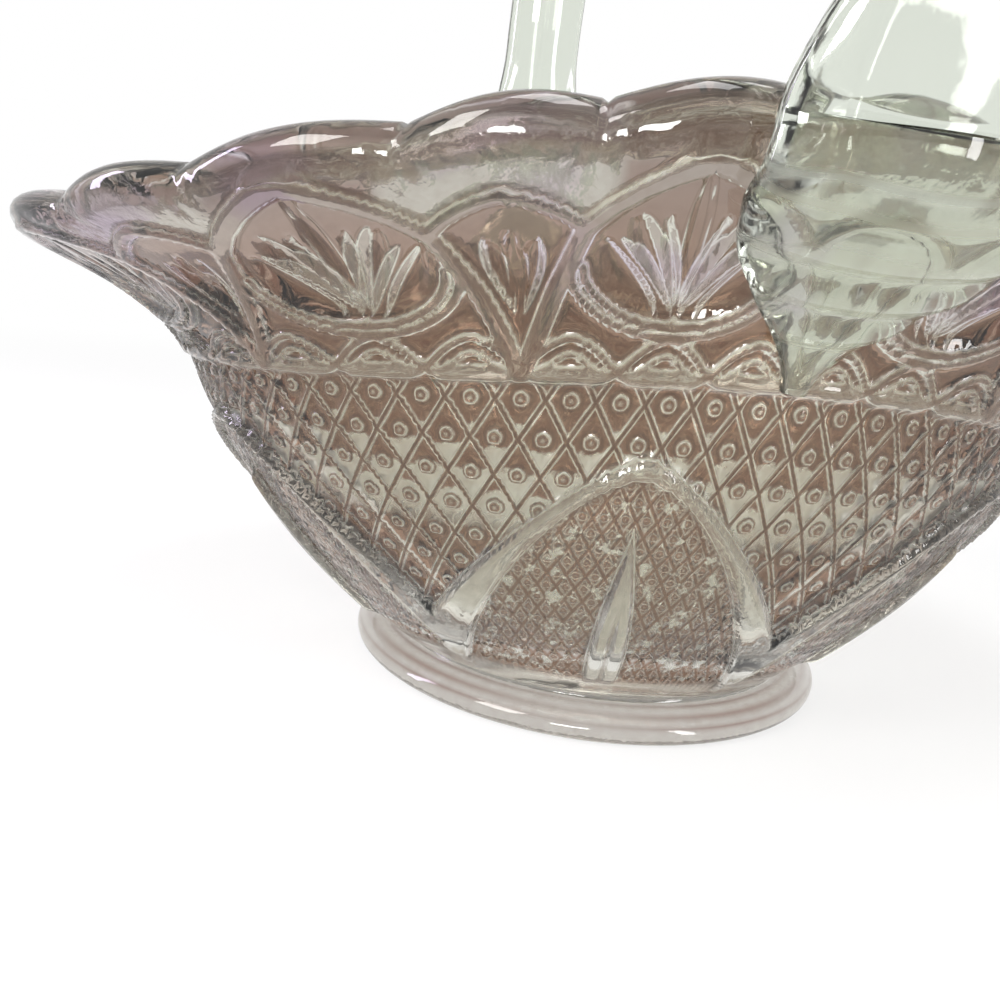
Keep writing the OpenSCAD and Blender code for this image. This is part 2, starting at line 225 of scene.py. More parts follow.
class Wall:
    """The bowl's wall as curves of radius and height, in millimetres, and the bowl's oval and saddle."""

    def __init__(self, sizes):
        mm = {key: getattr(sizes, key) / MM for key in sizes.__annotations__}
        self.mm = mm
        self.seat_z = mm["foot_height"]
        self.line = (mm["line_radius"], self.seat_z + mm["line_rise"])
        self.rim_z = self.line[1] + mm["rim_rise"]
        self.lip_middle = np.array([mm["rim_radius"] - mm["lip"], self.rim_z - mm["lip"]])
        lower = bezier(
            (mm["seat_radius"], self.seat_z),
            (mm["belly_radius"], self.seat_z + mm["belly_rise"]),
            self.line,
            np.linspace(0, 1, CURVE_POINTS),
        )
        upper = self.upper(np.linspace(0, 1, CURVE_POINTS))
        round_lip = self.on_lip(np.linspace(LIP_FROM, LIP_TO, LIP_POINTS))
        self.outside = np.vstack([lower[:-1], upper[:-1], round_lip])
        steps = np.hypot(*np.diff(self.outside, axis=0).T)
        self.up = np.concatenate([[0], np.cumsum(steps)])
        self.up -= self.up[len(lower) - 1]

    def on_lip(self, angle):
        """Points on the lip's round at these angles."""
        turn = np.atleast_1d(angle)
        return self.lip_middle + self.mm["lip"] * np.stack([np.cos(turn), np.sin(turn)], -1)

    def upper(self, t):
        """The flaring upper wall, from the line to the lip."""
        start = (self.mm["flare_radius"], self.line[1] + self.mm["flare_rise"])
        return bezier(self.line, start, self.on_lip(LIP_FROM)[0], t)

    def at(self, up):
        """Radius and height of the outer wall, a distance up along it from the line."""
        return np.stack([np.interp(up, self.up, self.outside[:, i]) for i in (0, 1)], -1)

    def normal(self, up):
        """The direction out of the wall, as radius and height."""
        step = self.at(np.asarray(up) + NORMAL_STEP) - self.at(np.asarray(up) - NORMAL_STEP)
        step /= np.linalg.norm(step, axis=-1, keepdims=True)
        return np.stack([step[..., 1], -step[..., 0]], -1)

    def inside(self, steps):
        """The inner wall, from the lip down to the middle of the cavity's floor."""
        mm = self.mm
        line = (self.line[0] - mm["wall"], self.line[1])
        flare = (mm["flare_radius"] - mm["wall"], self.line[1] + mm["flare_rise"])
        belly = (mm["belly_radius"] - mm["wall"], self.seat_z + mm["belly_rise"] + mm["wall"] / 2)
        floor = (mm["seat_radius"] - mm["wall"] / 2, self.seat_z + mm["floor"])
        t = np.linspace(0, 1, steps + 1)
        upper = bezier(self.on_lip(LIP_TO)[0], flare, line, t)
        lower = bezier(line, belly, floor, t[1:])
        level = np.stack([np.linspace(floor[0], 0, FLOOR_RINGS + 1)[1:], np.full(FLOOR_RINGS, floor[1])], -1)
        return np.vstack([upper[1:], lower, level])

    def underneath(self):
        """The foot, from the middle of its underside out, round its edge and up to the wall's start."""
        mm = self.mm
        edge, seat = mm["foot_edge"], mm["seat_radius"] + SHOULDER_SEAT
        across = np.linspace(0, 1, HOLLOW_RINGS)
        hollow = np.stack([mm["recess_radius"] * across, mm["recess_depth"] * (1 - across**HOLLOW_POWER)], -1)
        turn = np.radians(np.linspace(-90, 0, EDGE_RINGS))
        rounded = np.stack([np.cos(turn), np.sin(turn)], -1) * edge + [mm["foot_radius"] - edge, edge]
        turn = np.radians(np.linspace(0, 90, SHOULDER_RINGS))[1:]
        swell = [mm["foot_radius"] - seat, self.seat_z - edge]
        shoulder = np.stack([np.cos(turn), np.sin(turn)], -1) * swell + [seat, edge]
        return np.vstack([hollow, rounded, shoulder])

    def scallop(self, turn):
        """Rise of the rim's scallops: narrow ones on the handle's plane, wide ones between."""
        narrow = HALF_REPEAT * NARROW_SHARE
        wide = HALF_REPEAT - narrow
        off = off_repeat(turn)
        low = np.cos(np.pi / 2 * np.minimum(off / narrow, 1))
        high = np.cos(np.pi / 2 * np.minimum((HALF_REPEAT - off) / wide, 1))
        return np.where(off < narrow, low, high)

    def shaped(self, points, turn):
        """Draws a round wall's points into the oval and saddle, and scallops the lip."""
        mm = self.mm
        radius, height = points[..., 0], points[..., 1]
        share = np.clip((height - self.seat_z) / (self.rim_z - self.seat_z), 0, None)
        lip_share = ease((height - self.rim_z + mm["rim_rise"] / 2) / (mm["rim_rise"] / 2))
        lobe = lip_share * (self.scallop(turn) - 0.5)
        way = np.cos(np.radians(2 * turn))
        drawn = radius * (1 - mm["oval"] / mm["rim_radius"] * share**OVAL_POWER * way)
        raised = height + mm["saddle"] * share**SADDLE_POWER * way
        return np.stack([drawn + mm["scallop_out"] * lobe, raised + mm["scallop_up"] * lobe], -1)


# The pressed pattern: places are shares of half a repeat and millimetres up the wall from the line.
# A pair that ends in a stretch is where something starts or stops, and over how far it fades.
BAND_FOOT, BAND_TOP = -0.6, 25.6
BAND_FADE = (BAND_TOP + 1.5, 1.5)
CROSSING = (0.41, 18.2)
PALMETTE_RIB = ((0, 0.3), (0.22, 9.9), CROSSING, (0.55, 20.9), (0.70, 22.9), (0.85, 24.4), (1, BAND_TOP))
PEAK_RIB = (CROSSING, (0.30, 19.9), (0.20, 21.0), (0.1, 21.8), (0, 22.3))
PALMETTE_HALF, PEAK_HALF = 1.05, 0.85
EDGE_SOFT, EDGE_FAR = 0.55, 2.0
LINE_LEVEL = -0.35

# A distance at which the glass shows no line, and lengths too small to see
FAR = 9.0
TINY, MERGE_GAP = 1e-6, 0.01 * MM

# Rings round a palmette's foot: height of the middle, reach round the wall and reach down it
PALMETTE_RINGS = ((12.5, 0.68, 7.5), (13.4, 0.61, 7.2))
RING_HALF, RING_POINTS = 0.5, 12

# Pressed petals: tip, bend and half the width
FAN_FOOT = (1, 6.9)
FAN_PETALS = (
    ((0.50, 16.4), -1.6, 2.1),
    ((0.67, 19.2), -0.9, 1.15),
    ((0.84, 19.0), -0.3, 0.75),
    ((1.00, 24.0), 0.0, 1.0),
)
BUD_FOOT = (0, 7.0)
BUD_PETALS = (((0.14, 16.6), -0.4, 0.8), ((0, 17.4), 0.0, 0.75))
PETAL_SHIFT, PETAL_POWER = 1.15, 0.8

# Lines of the petals: the curve's tip, bend and foot, half the blade's width and how frosted it is
PETAL_CURVES = {
    "leaf": ((0.50, 15.8), (0.75, 11.1), (0.867, 7.2)),
    "frond_low": ((0.60, 16.4), (0.765, 13.0), (0.97, 7.2)),
    "frond_high": ((0.70, 19.2), (0.86, 14.85), (0.98, 7.5)),
    "sliver": ((0.83, 18.5), (0.93, 14.75), (0.985, 8.0)),
    "spear": ((1.0, 24.0), (0.90, 18.0), (0.975, 8.0)),
    "bud_side": ((0.14, 16.8), (0.215, 13.85), (0.03, 7.5)),
    "bud": ((0.0, 17.6), (0.11, 14.45), (0.02, 7.5)),
}
PETAL_BLADES = {
    "leaf": (0.42, 0.14),
    "frond_low": (0.62, 0.26),
    "frond_high": (0.75, 0.16),
    "sliver": (0.5, 0.2),
    "spear": (0.0, 0.0),
    "bud_side": (0.3, 0.14),
    "bud": (0.0, 0.0),
}
CURVE_STEPS = 10

# Lines of a small arch: height of the crown, reach to each side and half the line's width
SMALL_ARCH_LINES = ((4.7, 0.94, 0.42), (2.9, 0.5, 0.3))
SMALL_ARCH_FOOT, SMALL_ARCH_POWER = 1.2, 1.7
SMALL_ARCH_SIDE, SMALL_ARCH_END, SMALL_ARCH_LOW = 5.3, 0.06, 0.4
BAR_MIDDLE, BAR_HALF, BAR_POWER, BAR_MARGIN = 0.55, 0.95, 4, 0.3

# Diamonds: their rows, the steep side of a ridge and the broad dish beside it, and the button
FIRST_BUTTONS = -2.2
ROW_PITCH = 4.35
PATTERN_FOOT = -46.4
PATTERN_FADE, PATTERN_EDGE = (PATTERN_FOOT, 0.8), PATTERN_FOOT + 0.6
UNDER_LINE = (-0.4, 0.5)
RIDGE_SIDE = (0.15, 0.45)
STEEP_SHARE, BROAD_SHARE, BROAD_REACH = 0.55, 0.45, 2.2
BUTTON_FOOT, BUTTON_SIDE = 1.25, 0.6

# Large arches: height of an edge's crown, its fall by degrees and the power of the fall
OUTER_EDGE, INNER_EDGE = (-7.6, 0.26, 1.36), (-10.2, 0.115, 1.724)
RIBBON_SIDE, RIBBON_FOOT = (0.1, 0.6), (PATTERN_FOOT - 2.5, 5)
RIBBON_CHANNEL, CHANNEL_HALF, CHANNEL_SHARE = 0.9, 0.5, 0.2
SPEAR_TIP, SPEAR_LINE, SPEAR_END = -17, -16.5, PATTERN_FOOT + 2.4
SPEAR_HALF, SPEAR_SWELL, SPEAR_POWER, SPEAR_SIDE = 2.6, 0.62, 0.9, 0.6
SPEAR_FOOT = (PATTERN_FOOT, 2.5)
SPEAR_GROOVE, GROOVE_TOP, GROOVE_SHARE = (0.45, 0.45), (-26, 8), 0.7

# Flutes that fan out below the rim's pinches
FLUTE_MIDDLE, FLUTE_WAVES, FLUTE_SPREAD = 29.0, 11, 1.1
FLUTE_START, FLUTE_END, FLUTE_LEAST = (0.8, 1.2), (6.5, 3), 0.2

# Stipple over the V shapes, the clear wall behind the handle's roots, and how pale each place is
STIPPLE_FOOT, STIPPLE_TOP, STIPPLE_SIDE = (0.6, 0.8), (28.5, 2), (0.62, 0.12)
ROOT_TAIL, ROOT_WIDEST, ROOT_SIDE, ROOT_FOOT = 1.5, 22.0, 1.5, 2
RIB_FILL, BAR_FILL = 0.07, 0.28
# The large arches' ribbons are pale, and paler towards their feet; that extra paleness at the feet is a
# painted highlight
ARCH_PALE, ARCH_FOOT_HIGHLIGHT, ARCH_HIGHLIGHT_FADE = 0.5, 0.45, (-18, 22)
STIPPLE_PALE, COLLAR_PALE, ROOT_PALE = 0.26, 0.5, 0.6
LIP_PALE, END_PALE, LIP_START = 0.1, 0.34, (28, 2)
COLLAR_TOP = (PATTERN_FOOT + 0.6, 1.2)

# Streaks: painted highlights across the lip, and brown streaks on the foot; place across the lip or the foot,
# half the width and how strong it is
LIP_HIGHLIGHTS = ((26.2, 0.45, 0.4), (28.4, 0.45, 0.65), (35.5, 1.2, 0.4))
LIP_WANDER, LIP_TURNS, LIP_OFFSET = 0.3, 7, 40
FOOT_STREAKS = ((33.9, 0.45), (36.1, 0.6), (37.6, 0.22))
FOOT_WANDER, FOOT_TURNS = 0.25, 5
FOOT_PALE, INSIDE_PALE = 0.36, 0.95
FOOT_UP = -49.0
BASE_STIPPLE = (1.4, 0.4)


class Relief:
    """The pressed pattern's height over the wall, in millimetres, by turn in degrees and way up."""

    def __init__(self, wall, depths):
        self.wall = wall
        self.depth = {key: getattr(depths, key) / MM for key in depths.__annotations__}

    def flat(self, t, up):
        """Places on the wall laid flat, in millimetres, from half repeats and the way up."""
        per_half = math.radians(HALF_REPEAT) * self.wall.at(up)[..., 0]
        return np.stack([np.asarray(t) * per_half, np.asarray(up)], -1)

    def away(self, places, points):
        """Distance of each place from a line through a few points."""
        corners = self.flat(*np.array(points, float).T)
        best = np.full(len(places), np.inf)
        for a, b in zip(corners[:-1], corners[1:]):
            along = np.clip(((places - a) @ (b - a)) / ((b - a) @ (b - a)), 0, 1)
            best = np.minimum(best, np.linalg.norm(places - a - along[:, None] * (b - a), axis=1))
        return best

    def beside(self, places, curve):
        """How far each place is beside a curve and past its ends, and its share of the way along."""
        corners = self.flat(*bezier(*curve, np.linspace(0, 1, CURVE_STEPS + 1)).T)
        count = len(places)
        best = np.full(count, np.inf)
        found = np.zeros((count, 3))
        last = CURVE_STEPS - 1
        for i, (a, b) in enumerate(zip(corners[:-1], corners[1:])):
            span = np.linalg.norm(b - a)
            step = (b - a) / span
            along = (places - a) @ step
            held = np.clip(along, -np.inf if i == 0 else 0, np.inf if i == last else span)
            near = np.linalg.norm(places - a - held[:, None] * step, axis=1)
            beyond = np.maximum(np.where(i == 0, -along, 0), np.where(i == last, along - span, 0))
            share = (i + np.clip(along / span, 0, 1)) / CURVE_STEPS
            closer = near < best
            best = np.where(closer, near, best)
            found[closer] = np.stack([near, beyond, share], -1)[closer]
        return found

    def petal(self, places, foot, tip, bend, half_width):
        """A lens-shaped hollow from foot to tip, bent sideways, 1 in its middle and 0 at its edge."""
        a, b = self.flat(*foot), self.flat(*tip)
        axis = b - a
        span = np.linalg.norm(axis)
        axis /= span
        along = (places - a) @ axis / span
        inside = np.clip(along, 0, 1)
        side = (places - a) @ np.array([axis[1], -axis[0]]) - bend * 4 * inside * (1 - inside)
        width = half_width * np.sin(np.pi * inside**PETAL_SHIFT) ** PETAL_POWER + TINY
        return np.clip(1 - (side / width) ** 2, 0, 1) * ((along > 0) & (along < 1))

    def ribs(self, places):
        """How far each place is from the ribs of the V shapes and the palmettes and their rings."""
        edge = np.minimum(
            self.away(places, PALMETTE_RIB) - PALMETTE_HALF, self.away(places, PEAK_RIB) - PEAK_HALF
        )
        turns = np.linspace(math.pi, 1.5 * math.pi, RING_POINTS)
        for middle, across, depth in PALMETTE_RINGS:
            ring = np.stack([1 + across * np.cos(turns), middle + depth * np.sin(turns)], -1)
            edge = np.minimum(edge, self.away(places, ring) - RING_HALF)
        return edge

    def small_arches(self, turn, up):
        """How far each place is from the lines of the small arches, and from the bar that they stand on."""
        step = 360 / SMALL_ARCHES
        off = np.abs((turn % step) / step - 0.5) * 2
        edge = np.full(len(off), EDGE_FAR)
        for top, half, width in SMALL_ARCH_LINES:
            share = np.clip(off / half, 0, 1)
            rise = top - SMALL_ARCH_FOOT
            curve = SMALL_ARCH_FOOT + rise * (1 - share**SMALL_ARCH_POWER)
            fall = SMALL_ARCH_POWER * rise / (half * SMALL_ARCH_SIDE) * share ** (SMALL_ARCH_POWER - 1)
            here = (off < half + SMALL_ARCH_END) & (up > SMALL_ARCH_LOW)
            line = np.abs(up - curve) / np.hypot(1, fall) - width
            edge = np.minimum(edge, np.where(here, line, EDGE_FAR))
        return edge, np.abs(up - BAR_MIDDLE) - BAR_HALF * (1 - off**BAR_POWER)

    def band(self, turn, up):
        """The pattern between the line and the rim: height, way from edges, paleness and petals' lines."""
        t = off_repeat(turn) / HALF_REPEAT
        places = self.flat(t, up)
        hollow = np.zeros(len(t))
        for foot, petals in ((FAN_FOOT, FAN_PETALS), (BUD_FOOT, BUD_PETALS)):
            for tip, bend, half in petals:
                hollow = np.maximum(hollow, self.petal(places, foot, tip, bend, half))
        arches, bar = self.small_arches(turn, up)
        edge = np.minimum(self.ribs(places), arches)
        fill = np.where(bar < edge + BAR_MARGIN, BAR_FILL, RIB_FILL)
        keep = (up > BAND_FOOT) * falling(up, *BAND_FADE)
        edge = np.where(keep > 0.5, np.minimum(edge, bar), EDGE_FAR)
        raised = falling(edge, EDGE_SOFT / 2, EDGE_SOFT)
        height = self.depth["rib"] * raised - self.depth["petal"] * hollow * (1 - raised)
        lines = {name: self.beside(places, curve) for name, curve in PETAL_CURVES.items()}
        return height * keep, edge, fill * raised * keep, lines

    def lattice(self, turn, up, finer):
        """Diamonds with a button in each, a whole number of times finer than the largest."""
        pitch, tall = 360 / DIAMONDS / finer, 2 * ROW_PITCH / finer
        u, v = (turn + REPEAT) / pitch, (up - FIRST_BUTTONS) / tall
        a, b = (x - np.round(x) for x in (u + v, u - v))
        wide = np.radians(pitch) * self.wall.at(up)[:, 0]
        ridge = (0.5 - np.maximum(np.abs(a), np.abs(b))) / np.hypot(1 / wide, 1 / tall)
        centre = np.hypot((a + b) / 2 * wide, (a - b) / 2 * tall)
        broad = np.clip(ridge * finer / BROAD_REACH, 0, 1)
        dish = STEEP_SHARE * rising(ridge, *RIDGE_SIDE) + BROAD_SHARE * broad
        button = falling(centre, BUTTON_FOOT / finer**0.5, BUTTON_SIDE)
        return (-self.depth["diamond"] * dish + self.depth["button"] * button) / finer**0.5

    def over_edge(self, off, up, crown, fall, power):
        """How far each place is over one edge of a large arch."""
        degree = np.radians(1) * self.wall.at(up)[:, 0]
        return (up - crown + fall * off**power) / np.hypot(1, fall * power * off ** (power - 1) / degree)

    def spear(self, off, up):
        """The spear in a large arch, 1 on it and less in its groove, and each place's way from its edge."""
        across = off * np.radians(1) * self.wall.at(up)[:, 0]
        reach = np.clip((up - SPEAR_TIP) / (SPEAR_END - SPEAR_TIP), 0, 1)
        half = SPEAR_HALF * np.sin(np.pi * SPEAR_SWELL * reach) ** SPEAR_POWER
        spear = falling(across, half, SPEAR_SIDE) * (up < SPEAR_TIP) * rising(up, *SPEAR_FOOT)
        groove = falling(across, *SPEAR_GROOVE) * falling(up, *GROOVE_TOP)
        edge = np.where(up < SPEAR_LINE, across - half, EDGE_FAR)
        return spear * (1 - GROOVE_SHARE * groove), edge

    def arches(self, turn, up):
        """The large pointed arches over the diamonds, with a spear in each, and where they are."""
        step = 360 / BIG_ARCHES
        off = np.abs(((turn + HALF_REPEAT + step / 2) % step) - step / 2)
        over_outer, over_inner = (self.over_edge(off, up, *edge) for edge in (OUTER_EDGE, INNER_EDGE))
        ribbon = np.minimum(falling(over_outer, *RIBBON_SIDE), falling(-over_inner, *RIBBON_SIDE))
        channel = ease(np.abs(over_inner - RIBBON_CHANNEL) / CHANNEL_HALF)
        ribbon = ribbon * (1 - CHANNEL_SHARE + CHANNEL_SHARE * channel)
        spear, spear_edge = self.spear(off, up)
        edge = np.minimum(np.maximum(over_outer, -over_inner), spear_edge)
        window = (over_inner < 0) & (up > PATTERN_FOOT)
        return ribbon, spear, edge, window, over_outer > 0

    def diamonds(self, turn, up):
        """Everything below the line: height, way from the arches' edges, where they are and the masks."""
        ribbon, spear, edge, window, outside = self.arches(turn, up)
        ground = np.where(window, self.lattice(turn, up, 2), 0)
        ground = np.where(outside, self.lattice(turn, up, 1), ground)
        below = rising(up, *PATTERN_FADE)
        ground = ground * below * falling(up, *UNDER_LINE)
        raised = np.maximum(ribbon * rising(up, *RIBBON_FOOT), spear)
        masks = [place * below * (1 - raised) for place in (outside * 1.0, window * 1.0)]
        edge = np.where(up > PATTERN_EDGE, edge, EDGE_FAR)
        return ground * (1 - raised) + self.depth["ribbon"] * raised, edge, raised, masks

    def flutes(self, turn, up):
        """Short flutes that fan out below each pinch of the rim."""
        off = off_repeat(turn) / HALF_REPEAT
        across = (off - NARROW_SHARE) * math.radians(HALF_REPEAT) * self.wall.at(up)[:, 0]
        down = FLUTE_MIDDLE - up
        fan = np.arctan2(across, np.maximum(down, FLUTE_LEAST))
        reach = np.hypot(across, down)
        waves = 0.5 * (1 + np.cos(fan * FLUTE_WAVES)) * (np.abs(fan) < FLUTE_SPREAD)
        return waves * rising(reach, *FLUTE_START) * falling(reach, *FLUTE_END)

    def under_root(self, turn, up):
        """1 on the wall behind a root of the handle, where the glass is fused clear, and 0 beside it."""
        across = np.abs(np.sin(np.radians(turn))) * self.wall.at(up)[:, 0]
        half = ROOT_TAIL + (HANDLE_HIGH.y / MM - ROOT_TAIL) * ease(up / ROOT_WIDEST)
        return falling(across, half, ROOT_SIDE) * rising(up, 0, ROOT_FOOT)

    def stipple(self, turn, up):
        """1 on the stippled ground over the V shapes' peaks, and 0 beside it."""
        off = off_repeat(turn) / HALF_REPEAT
        peak = np.interp(off, *np.array(sorted(PEAK_RIB + PALMETTE_RIB[3:])).T)
        over = rising(up - peak, *STIPPLE_FOOT)
        return over * falling(up, *STIPPLE_TOP) * falling(off, *STIPPLE_SIDE)

    def paleness(self, turn, up):
        """How pale the glass is apart from its ribs: painted highlight streaks on the lip, the paler lip, the
        collar and behind the roots.
        """
        streaks = sum(share * streaked(up, middle, half) for middle, half, share in LIP_HIGHLIGHTS)
        wander = 1 - LIP_WANDER + LIP_WANDER * np.sin(np.radians(LIP_TURNS * turn + LIP_OFFSET))
        drawn_out = np.sin(np.radians(turn)) ** 2
        tints = (
            streaks * wander,
            (LIP_PALE + END_PALE * drawn_out) * rising(up, *LIP_START),
            COLLAR_PALE * falling(up, *COLLAR_TOP),
            ROOT_PALE * self.under_root(turn, up),
        )
        return np.max(tints, axis=0)

    def pressed(self, turn, up):
        """The whole pattern's height, and what the glass shows of it: tints with painted highlights on the
        lip and the arches' feet, lines, lattices and stipple.
        """
        band, band_edge, band_pale, lines = self.band(turn, up)
        low, low_edge, low_ribs, (coarse, fine) = self.diamonds(turn, up)
        above = up > LINE_LEVEL
        height = np.where(above, band, low) - self.depth["flute"] * self.flutes(turn, up)
        stipple = self.stipple(turn, up)
        arch_pale = (ARCH_PALE + ARCH_FOOT_HIGHLIGHT * falling(up, *ARCH_HIGHLIGHT_FADE)) * low_ribs
        tints = (np.where(above, band_pale, arch_pale), STIPPLE_PALE * stipple, self.paleness(turn, up))
        masks = {
            "pale": np.max(tints, axis=0),
            "coarse": coarse * ~above,
            "fine": fine * ~above,
            "stipple": stipple,
            "up": up,
            "edge": np.clip(np.where(above, band_edge, low_edge), -EDGE_FAR, EDGE_FAR),
        }
        return height, {**masks, **lines}


CANE_SIDES, CANE_SECTORS = 48, 4
ROOT_STEPS, NECK_STEPS, ARCH_STEPS = 72, 14, 44
CRIMPS = 3
CRIMP_BULGE = 0.12
NECK_SHARE = 3
BACK_FLATNESS = 0.5

# Places behind a root: the line, the lip's start and its front, and a small step between two of them
AT_LINE, AT_LIP, AT_FRONT, ROOT_STEP = 0.0, 1.0, 2.0, 0.02


class Cane:
    """The handle's cane, ring by ring: flattened roots on the wall, necks and an arch, in millimetres."""

    def __init__(self, wall, sizes):
        self.wall = wall
        self.mm = {key: getattr(sizes, key) / MM for key in sizes.__annotations__}
        line, lip, front = self.on_wall(np.array([AT_LINE, AT_LIP, AT_FRONT]))
        self.low = line[1]
        self.root_top = lip[1] - self.low
        root = self.root()
        shoulder_x = front[0] + self.mm["shoulder_out"] + self.mm["thickness"] / 2
        shoulder_z = wall.rim_z + wall.mm["saddle"] + self.mm["shoulder_rise"]
        neck = self.neck({key: value[-1] for key, value in root.items()}, shoulder_x, shoulder_z)
        arch = self.arch(neck, shoulder_x, shoulder_z)
        half = {key: np.concatenate([part[key] for part in (root, neck, arch)]) for key in root}
        self.rings = {key: np.concatenate([value, value[-2::-1]]) for key, value in half.items()}
        self.rings["centre"][len(half["centre"]):, 0] *= -1
        step = np.gradient(self.rings["centre"], axis=0)
        step /= np.linalg.norm(step, axis=1, keepdims=True)
        self.normal = np.stack([step[:, 1], -step[:, 0]], -1)

    def mean(self, t):
        """The round wall's place behind the root, from the line up to the lip and over to its front."""
        lip = self.wall.on_lip(LIP_FROM * (AT_FRONT - np.maximum(t, AT_LIP)))
        return np.where((t < AT_LIP)[:, None], self.wall.upper(np.minimum(t, AT_LIP)), lip)

    def on_wall(self, t):
        """The drawn wall's place in the handle's plane."""
        return self.wall.shaped(self.mean(t), np.zeros(len(t)))

    def root(self):
        """Rings of a root, from its tail up to the lip's front, with its crimps."""
        mm = self.mm
        t = np.linspace(ROOT_STEP, AT_FRONT, ROOT_STEPS + 1)
        place = self.on_wall(t)
        step = self.on_wall(t + ROOT_STEP) - self.on_wall(t - ROOT_STEP)
        step /= np.linalg.norm(step, axis=1, keepdims=True)
        height = place[:, 1] - self.low
        share = ease(height / mm["tail_rise"])
        along = (height - mm["crimp_rise"]) / (self.root_top - mm["crimp_rise"])
        crimp = np.sin(np.pi * CRIMPS * along) ** 2 * ((along > 0) & (along < 1))
        half_t = (mm["tail_thickness"] + (mm["root_thickness"] - mm["tail_thickness"]) * share) / 2
        half_t = half_t + mm["crimp"] * crimp / 2
        half_w = (mm["tail_width"] + (mm["root_width"] - mm["tail_width"]) * share) / 2
        half_w = half_w - CRIMP_BULGE * (1 - crimp) * share
        out = np.stack([step[:, 1], -step[:, 0]], -1)
        centre = place + out * (half_t + mm["gap"])[:, None]
        pitch = (self.root_top - mm["crimp_rise"]) / CRIMPS
        off = np.abs(along * CRIMPS - np.clip(np.round(along * CRIMPS), 0, CRIMPS)) * pitch
        return {
            "centre": centre,
            "w": half_w,
            "t": half_t,
            "hug": np.ones(len(t)),
            "valley": off,
            "mean": self.mean(t),
        }

    def neck(self, end, shoulder_x, shoulder_z):
        """Rings from a root's upper end to the shoulder, where the cane has its own width."""
        mm = self.mm
        t = np.linspace(0, 1, NECK_STEPS + 1)[1:]
        k = ease(t)
        handle = (shoulder_x, end["centre"][1] + mm["shoulder_rise"] / NECK_SHARE)
        return {
            "centre": bezier(end["centre"], handle, (shoulder_x, shoulder_z), t),
            "w": end["w"] + (mm["width"] / 2 - end["w"]) * k,
            "t": end["t"] + (mm["thickness"] / 2 - end["t"]) * k,
            "hug": 1 - k,
            "valley": np.full(len(t), FAR),
            "mean": np.tile(end["mean"], (len(t), 1)),
        }

    def arch(self, neck, shoulder_x, shoulder_z):
        """Rings from the shoulder to the crown."""
        mm = self.mm
        turn = np.radians(np.linspace(0, 90, ARCH_STEPS + 1)[1:])
        rise = mm["top"] - mm["thickness"] / 2 - shoulder_z
        count = len(turn)
        return {
            "centre": np.stack([shoulder_x * np.cos(turn), shoulder_z + rise * np.sin(turn)], -1),
            "w": np.full(count, mm["width"] / 2),
            "t": np.full(count, mm["thickness"] / 2),
            "hug": np.zeros(count),
            "valley": np.full(count, FAR),
            "mean": np.tile(neck["mean"][-1], (count, 1)),
        }

    def bent(self, ring, radius, turn):
        """Places of a straight cane's points once it is bent: by ring, share of the radius and turn."""
        r = {key: value[ring] for key, value in self.rings.items()}
        normal = self.normal[ring]
        y = -r["w"] * np.cos(turn) * radius
        front = self.wall.shaped(r["mean"], np.zeros(len(y)))[:, 0]
        angle = np.arcsin(y / front)
        dip = front - self.wall.shaped(r["mean"], np.degrees(angle))[:, 0] * np.cos(angle)
        back = np.where(np.sin(turn) < 0, r["hug"], 0)
        lift = np.sign(np.sin(turn)) * np.abs(np.sin(turn)) ** (1 - BACK_FLATNESS * back) * radius
        flat = r["centre"] + normal * (r["t"] * lift - r["hug"] * dip * np.abs(normal[:, 0]))[:, None]
        return np.stack([flat[:, 0], y, flat[:, 1]], -1)


def spun(name, points, columns, sectors, ups=None):
    """A mesh spun in sectors from a line of radius and height points, each marked with its way up."""
    bm = bmesh.new()
    station = bm.verts.layers.float.new("up")
    rows = [bm.verts.new((r * MM, 0, z * MM)) for r, z in points]
    for vert, up in zip(rows, np.zeros(len(rows)) if ups is None else ups):
        vert[station] = up
    line = [bm.edges.new(pair) for pair in zip(rows[:-1], rows[1:])]
    around = {"axis": (0, 0, 1), "cent": (0, 0, 0)}
    sector = math.tau / sectors
    bmesh.ops.spin(bm, geom=rows + line, angle=sector, steps=columns // sectors, **around)
    whole = bm.verts[:] + bm.edges[:] + bm.faces[:]
    bmesh.ops.spin(
        bm, geom=whole, angle=math.tau - sector, steps=sectors - 1, use_duplicate=True, **around
    )
    bmesh.ops.remove_doubles(bm, verts=bm.verts, dist=MERGE_GAP)
    mesh = bpy.data.meshes.new(name)
    bm.to_mesh(mesh)
    bm.free()
    return mesh


def places(mesh):
    """A mesh's points, and each one's turn about the upright axis in degrees."""
    co = np.zeros(len(mesh.vertices) * 3, np.float32)
    mesh.vertices.foreach_get("co", co)
    co = co.reshape(-1, 3).astype(float)
    return co, np.degrees(np.arctan2(co[:, 1], co[:, 0]))


def set_round(mesh, points, turn):
    """Puts a mesh's points at these radii and heights, in millimetres."""
    angle = np.radians(turn)
    co = np.stack([points[:, 0] * np.cos(angle), points[:, 0] * np.sin(angle), points[:, 1]], -1) * MM
    mesh.vertices.foreach_set("co", co.astype(np.float32).ravel())


def values_of(mesh, name):
    """One number for each of a mesh's points, from an attribute."""
    values = np.zeros(len(mesh.vertices), np.float32)
    mesh.attributes[name].data.foreach_get("value", values)
    return values.astype(float)


def set_values(mesh, values):
    """Keeps named numbers for each of a mesh's points, as attributes for its material."""
    for name, numbers in values.items():
        kind, field = ("FLOAT", "value") if numbers.ndim == 1 else ("FLOAT_VECTOR", "vector")
        layer = mesh.attributes.get(name) or mesh.attributes.new(name, kind, "POINT")
        layer.data.foreach_set(field, numbers.astype(np.float32).ravel())


